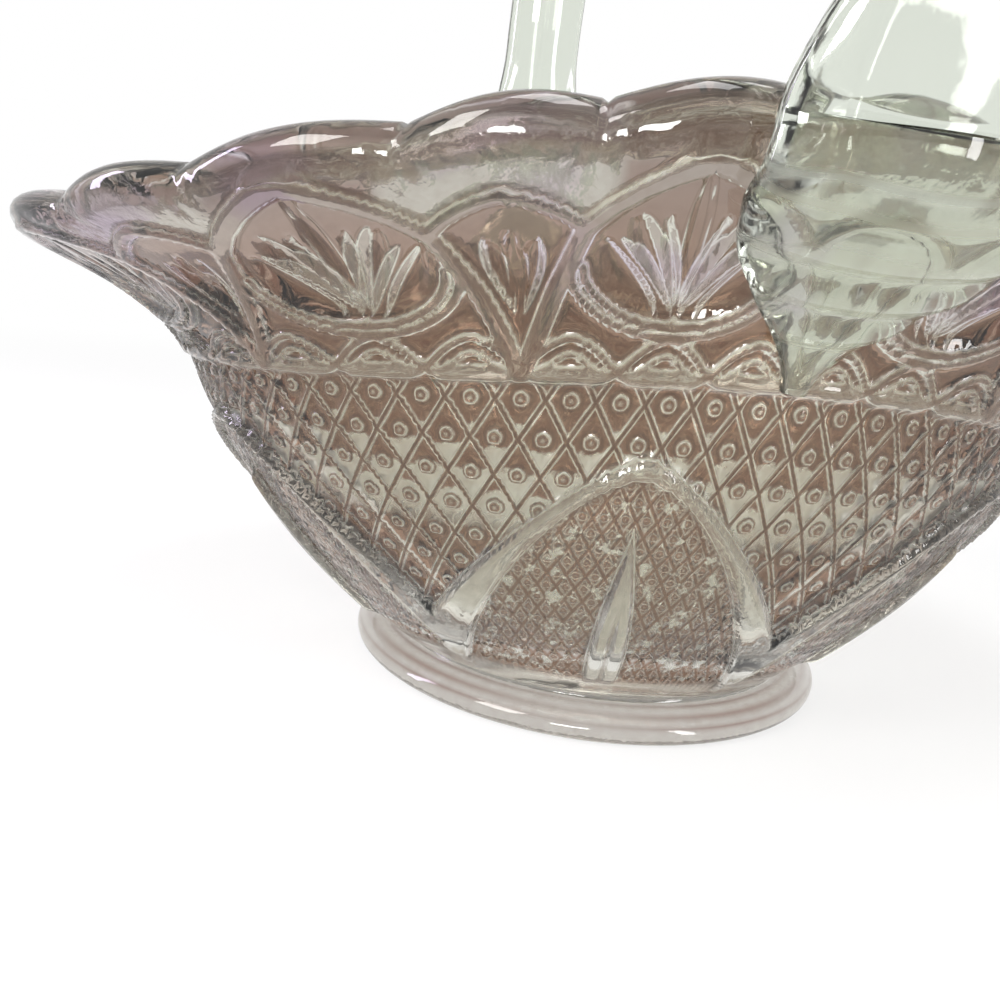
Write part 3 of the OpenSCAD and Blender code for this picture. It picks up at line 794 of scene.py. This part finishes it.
def finished(name, bm, body, nodes):
    """A bmesh as a smooth object of the basket, which rides on a body and stands for its nodes."""
    mesh = bpy.data.meshes.new(name)
    bm.to_mesh(mesh)
    bm.free()
    mesh.shade_smooth()
    piece = bpy.data.objects.new(name, mesh)
    bpy.context.scene.collection.objects.link(piece)
    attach(piece, body)
    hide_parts(*nodes)
    return piece


def wall_rows(wall):
    """Ways up the outer wall at which the fine mesh has a ring, in step with the diamonds' rows."""
    row = ROW_PITCH / RINGS_IN_ROW
    count = int((FIRST_BUTTONS - PATTERN_FOOT) / row) + RINGS_IN_ROW - 1
    low = FIRST_BUTTONS + row * RINGS_IN_ROW / 2 - row * np.arange(count)
    collar = np.linspace(wall.up[0], low[-1], COLLAR_RINGS)[:-1]
    high = np.arange(FINE_STEP, wall.up[-1] - LIP_STRETCH, FINE_STEP)
    lip = np.linspace(wall.up[-1] - LIP_STRETCH, wall.up[-1], LIP_RINGS)
    return np.concatenate([collar, low[::-1], high, lip])


class Sums:
    """Math nodes of one node tree, each made from an operation and its values or links."""

    def __init__(self, tree):
        self.nodes, self.links = tree.nodes, tree.links

    def __call__(self, operation, *values):
        node = self.nodes.new("ShaderNodeMath")
        node.operation = operation
        for socket, value in zip(node.inputs, values):
            if isinstance(value, bpy.types.NodeSocket):
                self.links.new(value, socket)
            else:
                socket.default_value = value
        return node.outputs[0]

    def line(self, distance, middle, half):
        """1 where a distance is at a value, falling to 0 on both sides."""
        away = self("ABSOLUTE", self("SUBTRACT", distance, middle))
        return self("MAXIMUM", self("SUBTRACT", 1.0, self("DIVIDE", away, half)), 0.0)

    def step(self, value, start, soft):
        """0 up to a start, rising to 1 over a soft stretch."""
        share = self("DIVIDE", self("SUBTRACT", value, start), soft)
        return self("MAXIMUM", self("MINIMUM", share, 1.0), 0.0)

    def centred(self, value):
        """A value's way from the nearest whole number."""
        return self("SUBTRACT", self("FRACT", self("ADD", value, 0.5)), 0.5)

    def length(self, x, y):
        """The length of a slope or a step from its two parts."""
        return self("SQRT", self("ADD", self("MULTIPLY", x, x), self("MULTIPLY", y, y)))


def new_group(name, inputs, outputs):
    """A node group with named numbers in and out, and the sockets that its nodes start and end at."""
    group = bpy.data.node_groups.new(name, "ShaderNodeTree")
    for label, default in inputs.items():
        socket = group.interface.new_socket(label, in_out="INPUT", socket_type="NodeSocketFloat")
        socket.default_value = default
    for label in outputs:
        group.interface.new_socket(label, in_out="OUTPUT", socket_type="NodeSocketFloat")
    values, result = group.nodes.new("NodeGroupInput"), group.nodes.new("NodeGroupOutput")
    return group, values.outputs, result.inputs


# Glass: the waves and pits in its surface, and how rough each place is
BOWL_WAVES, HANDLE_WAVES = 55.0, 90.0
PLAIN_PITS, STIPPLE_PITS = 0.15, 2.4
BUMP_STRENGTH, BUMP_DEPTH = 0.25, 0.2 * MM
CLEAR_ROUGH, HANDLE_ROUGH, CRIMP_ROUGH = 0.015, 0.05, 0.4
PALE_ROUGH, STIPPLE_ROUGH, LINE_ROUGH, FROST_ROUGH = 0.05, 0.12, 0.35, 0.3

# Lines that the shader draws along edges, ridges, buttons and crimps, in millimetres: painted highlight lines
# and painted shade lines, and a pale line in each crimp
LINE_HALF, DARK_AWAY = 0.2, 0.4
RIDGE_AWAY, RIDGE_LINE = 0.32, 0.17
BUTTON_RADIUS, BUTTON_LINE, DARK_RING = 0.75, 0.22, 0.25
DOT_RADIUS, DOT_SHARE = 0.35, 0.6
RIDGE_FOOT, RIDGE_RISE = 1.6 * RIDGE_AWAY, 0.8
CRIMP_LINE = 0.45

# Painted reflection of a window on frosted facets: the foot of each diamond, and more of it lower down, clear
# of its ridges and button
FACET_REFLECTION_MIDDLE, FACET_REFLECTION_SLANT, FACET_REFLECTION_RAGGED, FACET_REFLECTION_SOFT = -9.5, 14.0, 0.5, 0.08
FACET_REFLECTION_RIDGE, FACET_REFLECTION_BUTTON, FACET_REFLECTION_LOW = (0.35, 0.12), (BUTTON_RADIUS + 0.3, 0.15), (-19.0, 3.0)


def ripple_group():
    """Node group: slow waves and fine pits of pressed glass, as a height."""
    inputs = {"Wave scale": 60.0, "Pit scale": 900.0, "Pits": PLAIN_PITS}
    group, values, result = new_group("Glass ripple", inputs, ["Height"])
    nodes, links = group.nodes, group.links
    place = nodes.new("ShaderNodeTexCoord")
    waves, pits = nodes.new("ShaderNodeTexNoise"), nodes.new("ShaderNodeTexNoise")
    for noise, scale in ((waves, "Wave scale"), (pits, "Pit scale")):
        links.new(place.outputs["Object"], noise.inputs["Vector"])
        links.new(values[scale], noise.inputs["Scale"])
    height = Sums(group)("MULTIPLY_ADD", pits.outputs["Fac"], values["Pits"], waves.outputs["Fac"])
    links.new(height, result["Height"])
    return group


def diamond_group():
    """Node group: the diamonds' painted highlight lines, painted shade lines and painted reflection on their
    frosted facets, by turn in degrees and way up the wall.
    """
    inputs = {"Turn": 0.0, "Up": 0.0, "Radius": 60.0, "Finer": 1.0, "Noise": 0.5}
    group, values, result = new_group("Pressed diamonds", inputs, ["Lines", "Shade lines", "Facet reflection", "Height"])
    sums = Sums(group)
    finer, up = values["Finer"], values["Up"]
    pitch = sums("DIVIDE", 360 / DIAMONDS, finer)
    tall = sums("DIVIDE", 2 * ROW_PITCH, finer)
    wide = sums("MULTIPLY", sums("RADIANS", pitch), values["Radius"])
    u = sums("DIVIDE", sums("ADD", values["Turn"], REPEAT + 360), pitch)
    v = sums("DIVIDE", sums("SUBTRACT", up, FIRST_BUTTONS), tall)
    a, b = (sums.centred(sums(way, u, v)) for way in ("ADD", "SUBTRACT"))
    widest = sums("MAXIMUM", sums("ABSOLUTE", a), sums("ABSOLUTE", b))
    slope = sums.length(sums("DIVIDE", 1.0, wide), sums("DIVIDE", 1.0, tall))
    ridge = sums("DIVIDE", sums("SUBTRACT", 0.5, widest), slope)
    across = sums("MULTIPLY", sums("MULTIPLY", sums("ADD", a, b), 0.5), wide)
    high = sums("MULTIPLY", sums("SUBTRACT", a, b), 0.5)
    centre = sums.length(across, sums("MULTIPLY", high, tall))
    centre = sums("MULTIPLY", centre, sums("SQRT", finer))
    # Painted highlights: pale double lines beside each ridge, a ring round each button and a dot on it
    double = sums.line(ridge, RIDGE_AWAY, RIDGE_LINE)
    ring = sums.line(centre, BUTTON_RADIUS, BUTTON_LINE)
    dot = sums("MULTIPLY", sums.line(centre, 0.0, DOT_RADIUS), DOT_SHARE)
    group.links.new(sums("MAXIMUM", sums("MAXIMUM", double, ring), dot), result["Lines"])
    # Painted shade: a dark line on each ridge and a dark ring round each button
    shade_ring = sums.line(centre, BUTTON_RADIUS + DARK_AWAY, DARK_RING)
    group.links.new(sums("MAXIMUM", sums.line(ridge, 0.0, LINE_HALF), shade_ring), result["Shade lines"])
    # Painted reflection of a window on the lower facets of each diamond, which are also made rough
    level = sums("MULTIPLY_ADD", up, -1 / FACET_REFLECTION_SLANT, FACET_REFLECTION_MIDDLE / FACET_REFLECTION_SLANT)
    ragged = sums("MULTIPLY_ADD", values["Noise"], FACET_REFLECTION_RAGGED, -FACET_REFLECTION_RAGGED / 2)
    frost_and_reflection = sums.step(sums("ADD", sums("SUBTRACT", level, high), ragged), 0.0, FACET_REFLECTION_SOFT)
    for distance, limits in ((ridge, FACET_REFLECTION_RIDGE), (centre, FACET_REFLECTION_BUTTON), (up, FACET_REFLECTION_LOW)):
        frost_and_reflection = sums("MULTIPLY", frost_and_reflection, sums.step(distance, *limits))
    group.links.new(frost_and_reflection, result["Facet reflection"])
    rise = sums("MULTIPLY", sums.line(ridge, 0.0, RIDGE_FOOT), RIDGE_RISE)
    group.links.new(sums("MAXIMUM", rise, ring), result["Height"])
    return group


def kept_values(tree, name):
    """What a material reads of the numbers kept under a name on the mesh's points."""
    node = tree.nodes.new("ShaderNodeAttribute")
    node.attribute_name = name
    return node.outputs


def noise_of(tree, place, scale, roughness):
    """Noise over the object, from 0 to 1."""
    node = tree.nodes.new("ShaderNodeTexNoise")
    tree.links.new(place, node.inputs["Vector"])
    node.inputs["Scale"].default_value = scale
    node.inputs["Roughness"].default_value = roughness
    return node.outputs["Fac"]


def parts_of(tree, vector):
    """A vector's three numbers."""
    node = tree.nodes.new("ShaderNodeSeparateXYZ")
    tree.links.new(vector, node.inputs["Vector"])
    return node.outputs


def mixed(tree, factor, first, second):
    """A colour between two, each one a plain colour or a socket."""
    node = tree.nodes.new("ShaderNodeMix")
    node.data_type = "RGBA"
    tree.links.new(factor, node.inputs["Factor"])
    for name, value in (("A", first), ("B", second)):
        if isinstance(value, bpy.types.NodeSocket):
            tree.links.new(value, node.inputs[name])
        else:
            node.inputs[name].default_value = (*value, 1)
    return node.outputs["Result"]


def glass_material(name, colours, tint, waves):
    """Clear tinted glass, with the waves that pressing or pulling leaves in it."""
    material = bpy.data.materials.new(name)
    material.use_nodes = True
    nodes, links = material.node_tree.nodes, material.node_tree.links
    glass = nodes["Principled BSDF"]
    glass.inputs["Base Color"].default_value = (*tint, 1)
    glass.inputs["Transmission Weight"].default_value = 1
    glass.inputs["Roughness"].default_value = CLEAR_ROUGH
    glass.inputs["IOR"].default_value = colours.ior
    ripple = nodes.new("ShaderNodeGroup")
    ripple.name = "Ripple"
    ripple.node_tree = bpy.data.node_groups.get("Glass ripple") or ripple_group()
    ripple.inputs["Wave scale"].default_value = waves
    bump = nodes.new("ShaderNodeBump")
    bump.inputs["Strength"].default_value = BUMP_STRENGTH
    bump.inputs["Distance"].default_value = BUMP_DEPTH
    links.new(ripple.outputs["Height"], bump.inputs["Height"])
    links.new(bump.outputs["Normal"], glass.inputs["Normal"])
    return material


# The bowl's lattices: mask, fineness, strength of the painted highlight and shade lines, and frosting with
# its painted facet reflection
LATTICES = (("coarse", 1.0, 1.0, 0.95), ("fine", 2.0, 0.38, 0.0))
PETAL_LINE = 0.75

# Noise that mottles the bowl's painted highlight lines and pale glass and makes its painted glints, and where
# each tint and the painted shade towards the handle start and over how far
MOTTLE_SCALE, MOTTLE_ROUGHNESS = 420.0, 0.7
CLOUD_SCALE, CLOUD_ROUGHNESS = 60.0, 0.5
# Painted glints in the fine lattice
GLINTS, GLINT_SHARE = (0.57, 0.06), 0.8
LINE_MOTTLE = 1.9
PALE_MOTTLE, PALE_LEAST = 0.8, 0.6
LAVENDER, NEAR_RIM = (0.5, 0.12), (6.0, 6.0)
LIP_SMOKE, FOOT_SMOKE = (10.0, 18.0), (-46.0, -6.0)
# Painted shade on the bowl towards the handle's plane
HANDLE_SIDES, HANDLE_RISE, PAINTED_HANDLE_SHADE = (0.3, 0.7), (1.0, 8.0), 0.5
DARK_SHARE = 0.9


def mark_lattices(tree, marks, mask, known):
    """Adds the diamonds' painted highlight lines, painted shade lines and frosted facets with their painted
    reflection to what the pattern shows.
    """
    sums = Sums(tree)
    diamonds = bpy.data.node_groups.get("Pressed diamonds") or diamond_group()
    for name, finer, strength, facet_reflection in LATTICES:
        lattice = tree.nodes.new("ShaderNodeGroup")
        lattice.node_tree = diamonds
        lattice.inputs["Finer"].default_value = finer
        for label, value in known.items():
            tree.links.new(value, lattice.inputs[label])
        shown = sums("MULTIPLY", mask[name], strength)
        for mark, label in (("drawn", "Lines"), ("dark", "Shade lines")):
            marks[mark] = sums("MAXIMUM", marks[mark], sums("MULTIPLY", lattice.outputs[label], shown))
        marks["rise"] = sums("ADD", marks["rise"], sums("MULTIPLY", lattice.outputs["Height"], mask[name]))
        if facet_reflection:
            reflected_here = sums("MULTIPLY", mask[name], facet_reflection)
            marks["frost_and_reflection"] = sums("MULTIPLY", lattice.outputs["Facet reflection"], reflected_here)


def mark_petals(tree, marks):
    """Adds the petals' outlines as painted highlights, painted shade beside them and their frosted blades to
    what the pattern shows.
    """
    sums = Sums(tree)
    for name, (half, filling) in PETAL_BLADES.items():
        side, past, share = parts_of(tree, kept_values(tree, name)["Vector"])
        here = sums("SUBTRACT", 1.0, sums.step(past, 0.0, DARK_AWAY))
        left = sums("SUBTRACT", 1.0, share)
        width = sums("MULTIPLY", sums("SQRT", sums("MULTIPLY", share, left)), 2 * half)
        edge = sums("MULTIPLY", sums.line(side, width, LINE_HALF), here)
        blade = sums("MULTIPLY", sums.step(sums("SUBTRACT", width, side), 0.0, LINE_HALF), here)
        beside = sums.line(side, sums("ADD", width, DARK_AWAY), LINE_HALF)
        shown = {
            "drawn": sums("MULTIPLY", edge, PETAL_LINE),
            "rise": edge,
            "dark": sums("MULTIPLY", beside, here),
            "frost_and_reflection": sums("MULTIPLY", blade, filling),
        }
        for mark, value in shown.items():
            marks[mark] = sums("MAXIMUM", marks[mark], value)


def bowl_tint(tree, colours, share, dark, up, clouds):
    """The bowl's colour: brown ground, with painted shade along edges and towards the handle, and pale glass
    with painted highlights and some painted lavender highlight at the rim.
    """
    sums = Sums(tree)
    lavender = sums("MULTIPLY", sums.step(clouds, *LAVENDER), sums.step(up, *NEAR_RIM))
    at_ends = sums("MAXIMUM", sums.step(up, *LIP_SMOKE), sums.step(up, *FOOT_SMOKE))
    brown = mixed(tree, at_ends, colours.body, colours.smoke)
    ground = mixed(tree, sums("MULTIPLY", dark, DARK_SHARE), brown, colours.painted_shade)
    sheen = mixed(tree, lavender, colours.pale, colours.lavender_highlight)
    return mixed(tree, share, ground, sheen)


def pressed_glass(colours):
    """The bowl's glass: smoky brown ground, paler on ribs, ridges, lip and foot, stippled under the rim, with
    painted highlights, glints, reflections and shade.
    """
    material = glass_material("pressed_glass", colours, colours.body, BOWL_WAVES)
    tree = material.node_tree
    links = tree.links
    glass, bump, ripple = (tree.nodes[name] for name in ("Principled BSDF", "Bump", "Ripple"))
    sums = Sums(tree)
    names = ("pale", "coarse", "fine", "stipple", "up", "edge")
    mask = {name: kept_values(tree, name)["Fac"] for name in names}
    up = mask["up"]
    place = tree.nodes.new("ShaderNodeTexCoord").outputs["Object"]
    x, y = (sums("DIVIDE", part, MM) for part in parts_of(tree, place)[:2])
    radius = sums.length(x, y)
    mottle_and_crimp_line = noise_of(tree, place, MOTTLE_SCALE, MOTTLE_ROUGHNESS)
    clouds = noise_of(tree, place, CLOUD_SCALE, CLOUD_ROUGHNESS)
    # A pale line along each edge, also raised a little, is a painted highlight; a dark line beside it is
    # painted shade
    outline = sums.line(mask["edge"], 0.0, LINE_HALF)
    marks = {"drawn": outline, "rise": outline, "dark": sums.line(mask["edge"], DARK_AWAY, LINE_HALF)}
    turn = sums("DEGREES", sums("ARCTAN2", y, x))
    mark_lattices(tree, marks, mask, {"Turn": turn, "Up": up, "Radius": radius, "Noise": mottle_and_crimp_line})
    mark_petals(tree, marks)
    # Painted glints in the fine lattice join the painted facet reflections and the frosted petal blades
    glints = sums("MULTIPLY", sums.step(mottle_and_crimp_line, *GLINTS), sums("MULTIPLY", mask["fine"], GLINT_SHARE))
    frost_and_reflection = sums("MAXIMUM", marks["frost_and_reflection"], glints)
    # Noise mottles the painted highlight lines and the pale glass
    fine_lines = sums("MULTIPLY", marks["drawn"], sums("MULTIPLY", mottle_and_crimp_line, LINE_MOTTLE))
    mottled = sums("MULTIPLY_ADD", mottle_and_crimp_line, PALE_MOTTLE, PALE_LEAST)
    soft = sums("MULTIPLY", sums("MAXIMUM", mask["pale"], frost_and_reflection), mottled)
    share = sums("MINIMUM", sums("MAXIMUM", soft, fine_lines), 1.0)
    # Painted shade: the bowl darkens towards the handle's plane, over the line
    to_handle = sums("DIVIDE", sums("MULTIPLY", x, x), sums("POWER", radius, 2.0))
    shade = sums("MULTIPLY", sums.step(to_handle, *HANDLE_SIDES), sums.step(up, *HANDLE_RISE))
    dark = sums("MAXIMUM", marks["dark"], sums("MULTIPLY", shade, PAINTED_HANDLE_SHADE))
    links.new(bowl_tint(tree, colours, share, dark, up, clouds), glass.inputs["Base Color"])
    rough = CLEAR_ROUGH
    roughened = (
        (mask["pale"], PALE_ROUGH),
        (mask["stipple"], STIPPLE_ROUGH),
        (fine_lines, LINE_ROUGH),
        (frost_and_reflection, FROST_ROUGH),
    )
    for here, more in roughened:
        rough = sums("MULTIPLY_ADD", here, more, rough)
    links.new(rough, glass.inputs["Roughness"])
    links.new(sums("MULTIPLY_ADD", mask["stipple"], STIPPLE_PITS, PLAIN_PITS), ripple.inputs["Pits"])
    links.new(sums("ADD", ripple.outputs["Height"], marks["rise"]), bump.inputs["Height"])
    return material


def drawn_glass(colours):
    """The handle's glass: clear grey green, with a pale, rougher line in each crimp."""
    material = glass_material("handle_glass", colours, colours.handle, HANDLE_WAVES)
    tree = material.node_tree
    glass = tree.nodes["Principled BSDF"]
    sums = Sums(tree)
    mottle_and_crimp_line = sums.line(kept_values(tree, "valley")["Fac"], 0.0, CRIMP_LINE)
    tree.links.new(mixed(tree, mottle_and_crimp_line, colours.handle, colours.pale), glass.inputs["Base Color"])
    tree.links.new(sums("MULTIPLY_ADD", mottle_and_crimp_line, CRIMP_ROUGH, HANDLE_ROUGH), glass.inputs["Roughness"])
    return material


def plain_values(wall, masks, flat, turn, under):
    """What the glass shows where nothing is pressed: the clear inside, or the foot with its brown streaks."""
    count = len(turn)
    plain = {name: np.full_like(values[:count], FAR) for name, values in masks.items()}
    plain["coarse"] = plain["fine"] = plain["stipple"] = plain["up"] = np.zeros(count)
    plain["pale"] = np.full(count, INSIDE_PALE)
    if under:
        radius, level = flat.T
        streaks = sum(streaked(radius, middle, half) for middle, half in FOOT_STREAKS)
        wander = 1 - FOOT_WANDER + FOOT_WANDER * np.sin(np.radians(FOOT_TURNS * turn))
        streaks = np.minimum(streaks * wander * (level > wall.mm["foot_edge"]), 1)
        plain["pale"] = FOOT_PALE - FOOT_PALE * streaks
        plain["stipple"] = 1 - rising(level, *BASE_STIPPLE)
        plain["up"] = np.full(count, FOOT_UP)
    return plain


class BASKET_OT_bowl(bpy.types.Operator):
    """Press the bowl and its foot in one piece of glass"""

    bl_idname = "basket.bowl"
    bl_label = "Press the bowl"

    def execute(self, context):
        scene = context.scene
        wall = Wall(scene.basket_bowl)
        relief = Relief(wall, scene.basket_pattern)
        ups = wall_rows(wall)
        fine = spun("fine_wall", wall.at(ups), FINE_COLUMNS, PALMETTES, ups)
        up = values_of(fine, "up")
        turn = places(fine)[1]
        height, masks = relief.pressed(turn, up)
        set_round(fine, wall.shaped(wall.at(up) + height[:, None] * wall.normal(up), turn), turn)
        set_values(fine, masks)
        inside = spun("inside", wall.inside(INSIDE_RINGS), PLAIN_COLUMNS, PALMETTES)
        underneath = spun("underneath", wall.underneath(), PLAIN_COLUMNS, PALMETTES)
        for mesh in (inside, underneath):
            co, turn = places(mesh)
            flat = np.stack([np.hypot(co[:, 0], co[:, 1]), co[:, 2]], -1) / MM
            set_round(mesh, wall.shaped(flat, turn), turn)
            set_values(mesh, plain_values(wall, masks, flat, turn, mesh is underneath))
        bm = bmesh.new()
        for mesh in (fine, inside, underneath):
            bm.from_mesh(mesh)
            bpy.data.meshes.remove(mesh)
        open_edges = [e for e in bm.edges if e.is_boundary]
        middle = wall.line[1] * MM / 2
        for low in (True, False):
            pair = [e for e in open_edges if (e.verts[0].co.z < middle) == low]
            bmesh.ops.bridge_loops(bm, edges=pair)
        bmesh.ops.recalc_face_normals(bm, faces=bm.faces)
        piece = finished("glass_bowl", bm, "root", ("bowl", "foot"))
        piece.data.materials.append(pressed_glass(scene.basket_glass))
        return {"FINISHED"}


class BASKET_OT_handle(bpy.types.Operator):
    """Bend a cane of clear glass over the bowl and crimp its roots to the wall"""

    bl_idname = "basket.handle"
    bl_label = "Apply the handle"

    def execute(self, context):
        scene = context.scene
        cane = Cane(Wall(scene.basket_bowl), scene.basket_handle)
        count = len(cane.normal)
        rings = np.concatenate([[0], np.arange(count), [count - 1]])
        line = [(0, 0), *((1, level) for level in range(count)), (0, count - 1)]
        mesh = spun("cane", line, CANE_SIDES, CANE_SECTORS, rings)
        co, turn = places(mesh)
        ring = np.rint(values_of(mesh, "up")).astype(int)
        bent = cane.bent(ring, np.hypot(co[:, 0], co[:, 1]) / MM, np.radians(turn)) * MM
        mesh.vertices.foreach_set("co", bent.astype(np.float32).ravel())
        set_values(mesh, {"valley": cane.rings["valley"][ring]})
        bm = bmesh.new()
        bm.from_mesh(mesh)
        bpy.data.meshes.remove(mesh)
        bmesh.ops.recalc_face_normals(bm, faces=bm.faces)
        piece = finished("glass_handle", bm, "root", ("handle",))
        piece.data.materials.append(drawn_glass(scene.basket_glass))
        return {"FINISHED"}


SENSOR_WIDTH, CLIP_START = 36.0, 0.01
FLOOR_ROUGH, FLOOR_GLOW = 0.9, 0.72
SHADOW_REACH = 0.5
WORLD_LIGHT = 0.45
LAMP_TARGET = Vector((0, 0, 0.05))

# Lamps: place, sides, power and colour
LAMPS = {
    "window": ((0.30, -0.45, 0.42), (0.22, 0.30), 2.6, (1.0, 0.98, 0.95)),
    "front": ((0.47, -0.17, 0.11), (0.14, 0.10), 1.3, (1.0, 1.0, 0.97)),
    "left_strip": ((-0.05, -0.42, 0.12), (0.06, 0.36), 1.0, (0.86, 0.76, 1.0)),
    "right_strip": ((0.38, 0.24, 0.16), (0.06, 0.34), 0.9, (1.0, 1.0, 1.0)),
    "overhead": ((0.05, 0.05, 0.62), (0.30, 0.30), 1.8, (1.0, 1.0, 1.0)),
}


def seen_rays(tree):
    """1 for rays from the eye, off gloss or through glass, and 0 for those that light a surface."""
    path = tree.nodes.new("ShaderNodeLightPath").outputs
    sums = Sums(tree)
    shiny = sums("MAXIMUM", path["Is Glossy Ray"], path["Is Transmission Ray"])
    return sums("MAXIMUM", path["Is Camera Ray"], shiny)


def light_floor(colour):
    """A pale floor that stays white to the eye and in the glass, and keeps the shadows that fall on it."""
    material = bpy.data.materials.new("floor")
    material.use_nodes = True
    tree = material.node_tree
    nodes, links = tree.nodes, tree.links
    pale = nodes["Principled BSDF"]
    pale.inputs["Base Color"].default_value = (*colour, 1)
    pale.inputs["Roughness"].default_value = FLOOR_ROUGH
    glow = nodes.new("ShaderNodeEmission")
    place, far = nodes.new("ShaderNodeTexCoord"), nodes.new("ShaderNodeVectorMath")
    far.operation = "LENGTH"
    links.new(place.outputs["Object"], far.inputs[0])
    fade = nodes.new("ShaderNodeMapRange")
    fade.interpolation_type = "SMOOTHSTEP"
    fade.inputs["From Min"].default_value = SHADOW_REACH / 2
    fade.inputs["From Max"].default_value = SHADOW_REACH
    fade.inputs["To Min"].default_value = FLOOR_GLOW
    links.new(far.outputs["Value"], fade.inputs["Value"])
    mix = nodes.new("ShaderNodeMixShader")
    links.new(Sums(tree)("MULTIPLY", seen_rays(tree), fade.outputs["Result"]), mix.inputs["Fac"])
    links.new(pale.outputs["BSDF"], mix.inputs[1])
    links.new(glow.outputs["Emission"], mix.inputs[2])
    links.new(mix.outputs["Shader"], nodes["Material Output"].inputs["Surface"])
    return material


def studio_world():
    """A white surround that lights the object at a plain level."""
    world = bpy.data.worlds.new("studio")
    world.use_nodes = True
    tree = world.node_tree
    strength = tree.nodes.new("ShaderNodeMapRange")
    strength.inputs["To Min"].default_value = WORLD_LIGHT
    strength.inputs["To Max"].default_value = 1.0
    tree.links.new(seen_rays(tree), strength.inputs["Value"])
    background = tree.nodes["Background"]
    background.inputs["Color"].default_value = (1, 1, 1, 1)
    tree.links.new(strength.outputs["Result"], background.inputs["Strength"])
    return world


class BASKET_OT_stage(bpy.types.Operator):
    """Set up the floor, the lamps and the camera"""

    bl_idname = "basket.stage"
    bl_label = "Set the stage"

    def execute(self, context):
        scene = context.scene
        stage = scene.basket_stage
        scene.view_settings.view_transform = "Standard"
        camera = bpy.data.objects.new("camera", bpy.data.cameras.new("camera"))
        camera.data.lens = stage.lens
        camera.data.sensor_width = SENSOR_WIDTH
        camera.data.clip_start = CLIP_START
        camera.location = stage.camera_place
        camera.rotation_euler = Euler(stage.camera_turn)
        scene.collection.objects.link(camera)
        scene.camera = camera
        bm = bmesh.new()
        bmesh.ops.create_grid(bm, x_segments=1, y_segments=1, size=stage.floor_half)
        mesh = bpy.data.meshes.new("floor")
        bm.to_mesh(mesh)
        bm.free()
        floor = bpy.data.objects.new("floor", mesh)
        scene.collection.objects.link(floor)
        mesh.materials.append(light_floor(stage.floor_colour))
        scene.world = studio_world()
        for name, (place, sides, power, shade) in LAMPS.items():
            lamp = bpy.data.lights.new(name, "AREA")
            lamp.shape = "RECTANGLE"
            lamp.size, lamp.size_y = sides
            lamp.energy = power
            lamp.color = shade
            holder = bpy.data.objects.new(name, lamp)
            holder.location = place
            holder.rotation_euler = (Vector(place) - LAMP_TARGET).to_track_quat("Z", "Y").to_euler()
            scene.collection.objects.link(holder)
        return {"FINISHED"}


class BASKET_PT_sidebar(bpy.types.Panel):
    """Lists the basket's steps, sizes and colours"""

    bl_idname = "BASKET_PT_sidebar"
    bl_label = "Glass basket"
    bl_space_type = "VIEW_3D"
    bl_region_type = "UI"
    bl_category = "Basket"

    def draw(self, context):
        for operator in OPERATORS:
            self.layout.operator(operator.bl_idname)
        for name, group in GROUPS.items():
            box = self.layout.box()
            for key in group.__annotations__:
                box.prop(getattr(context.scene, name), key)


OPERATORS = (BASKET_OT_bowl, BASKET_OT_handle, BASKET_OT_stage)
GROUPS = {
    "basket_bowl": BasketBowl,
    "basket_pattern": BasketPattern,
    "basket_handle": BasketHandle,
    "basket_glass": BasketGlass,
    "basket_stage": BasketStage,
}


def register():
    """Registers the classes and the scene's sizes."""
    for cls in (*GROUPS.values(), *OPERATORS, BASKET_PT_sidebar):
        bpy.utils.register_class(cls)
    for name, group in GROUPS.items():
        setattr(bpy.types.Scene, name, bpy.props.PointerProperty(type=group))


def unregister():
    """Takes back what register added."""
    for name in GROUPS:
        delattr(bpy.types.Scene, name)
    for cls in (BASKET_PT_sidebar, *reversed(OPERATORS), *reversed(GROUPS.values())):
        bpy.utils.unregister_class(cls)


def main():
    """Builds the basket and its stage."""
    register()
    bpy.ops.basket.bowl()
    bpy.ops.basket.handle()
    bpy.ops.basket.stage()


if __name__ == "__main__":
    main()
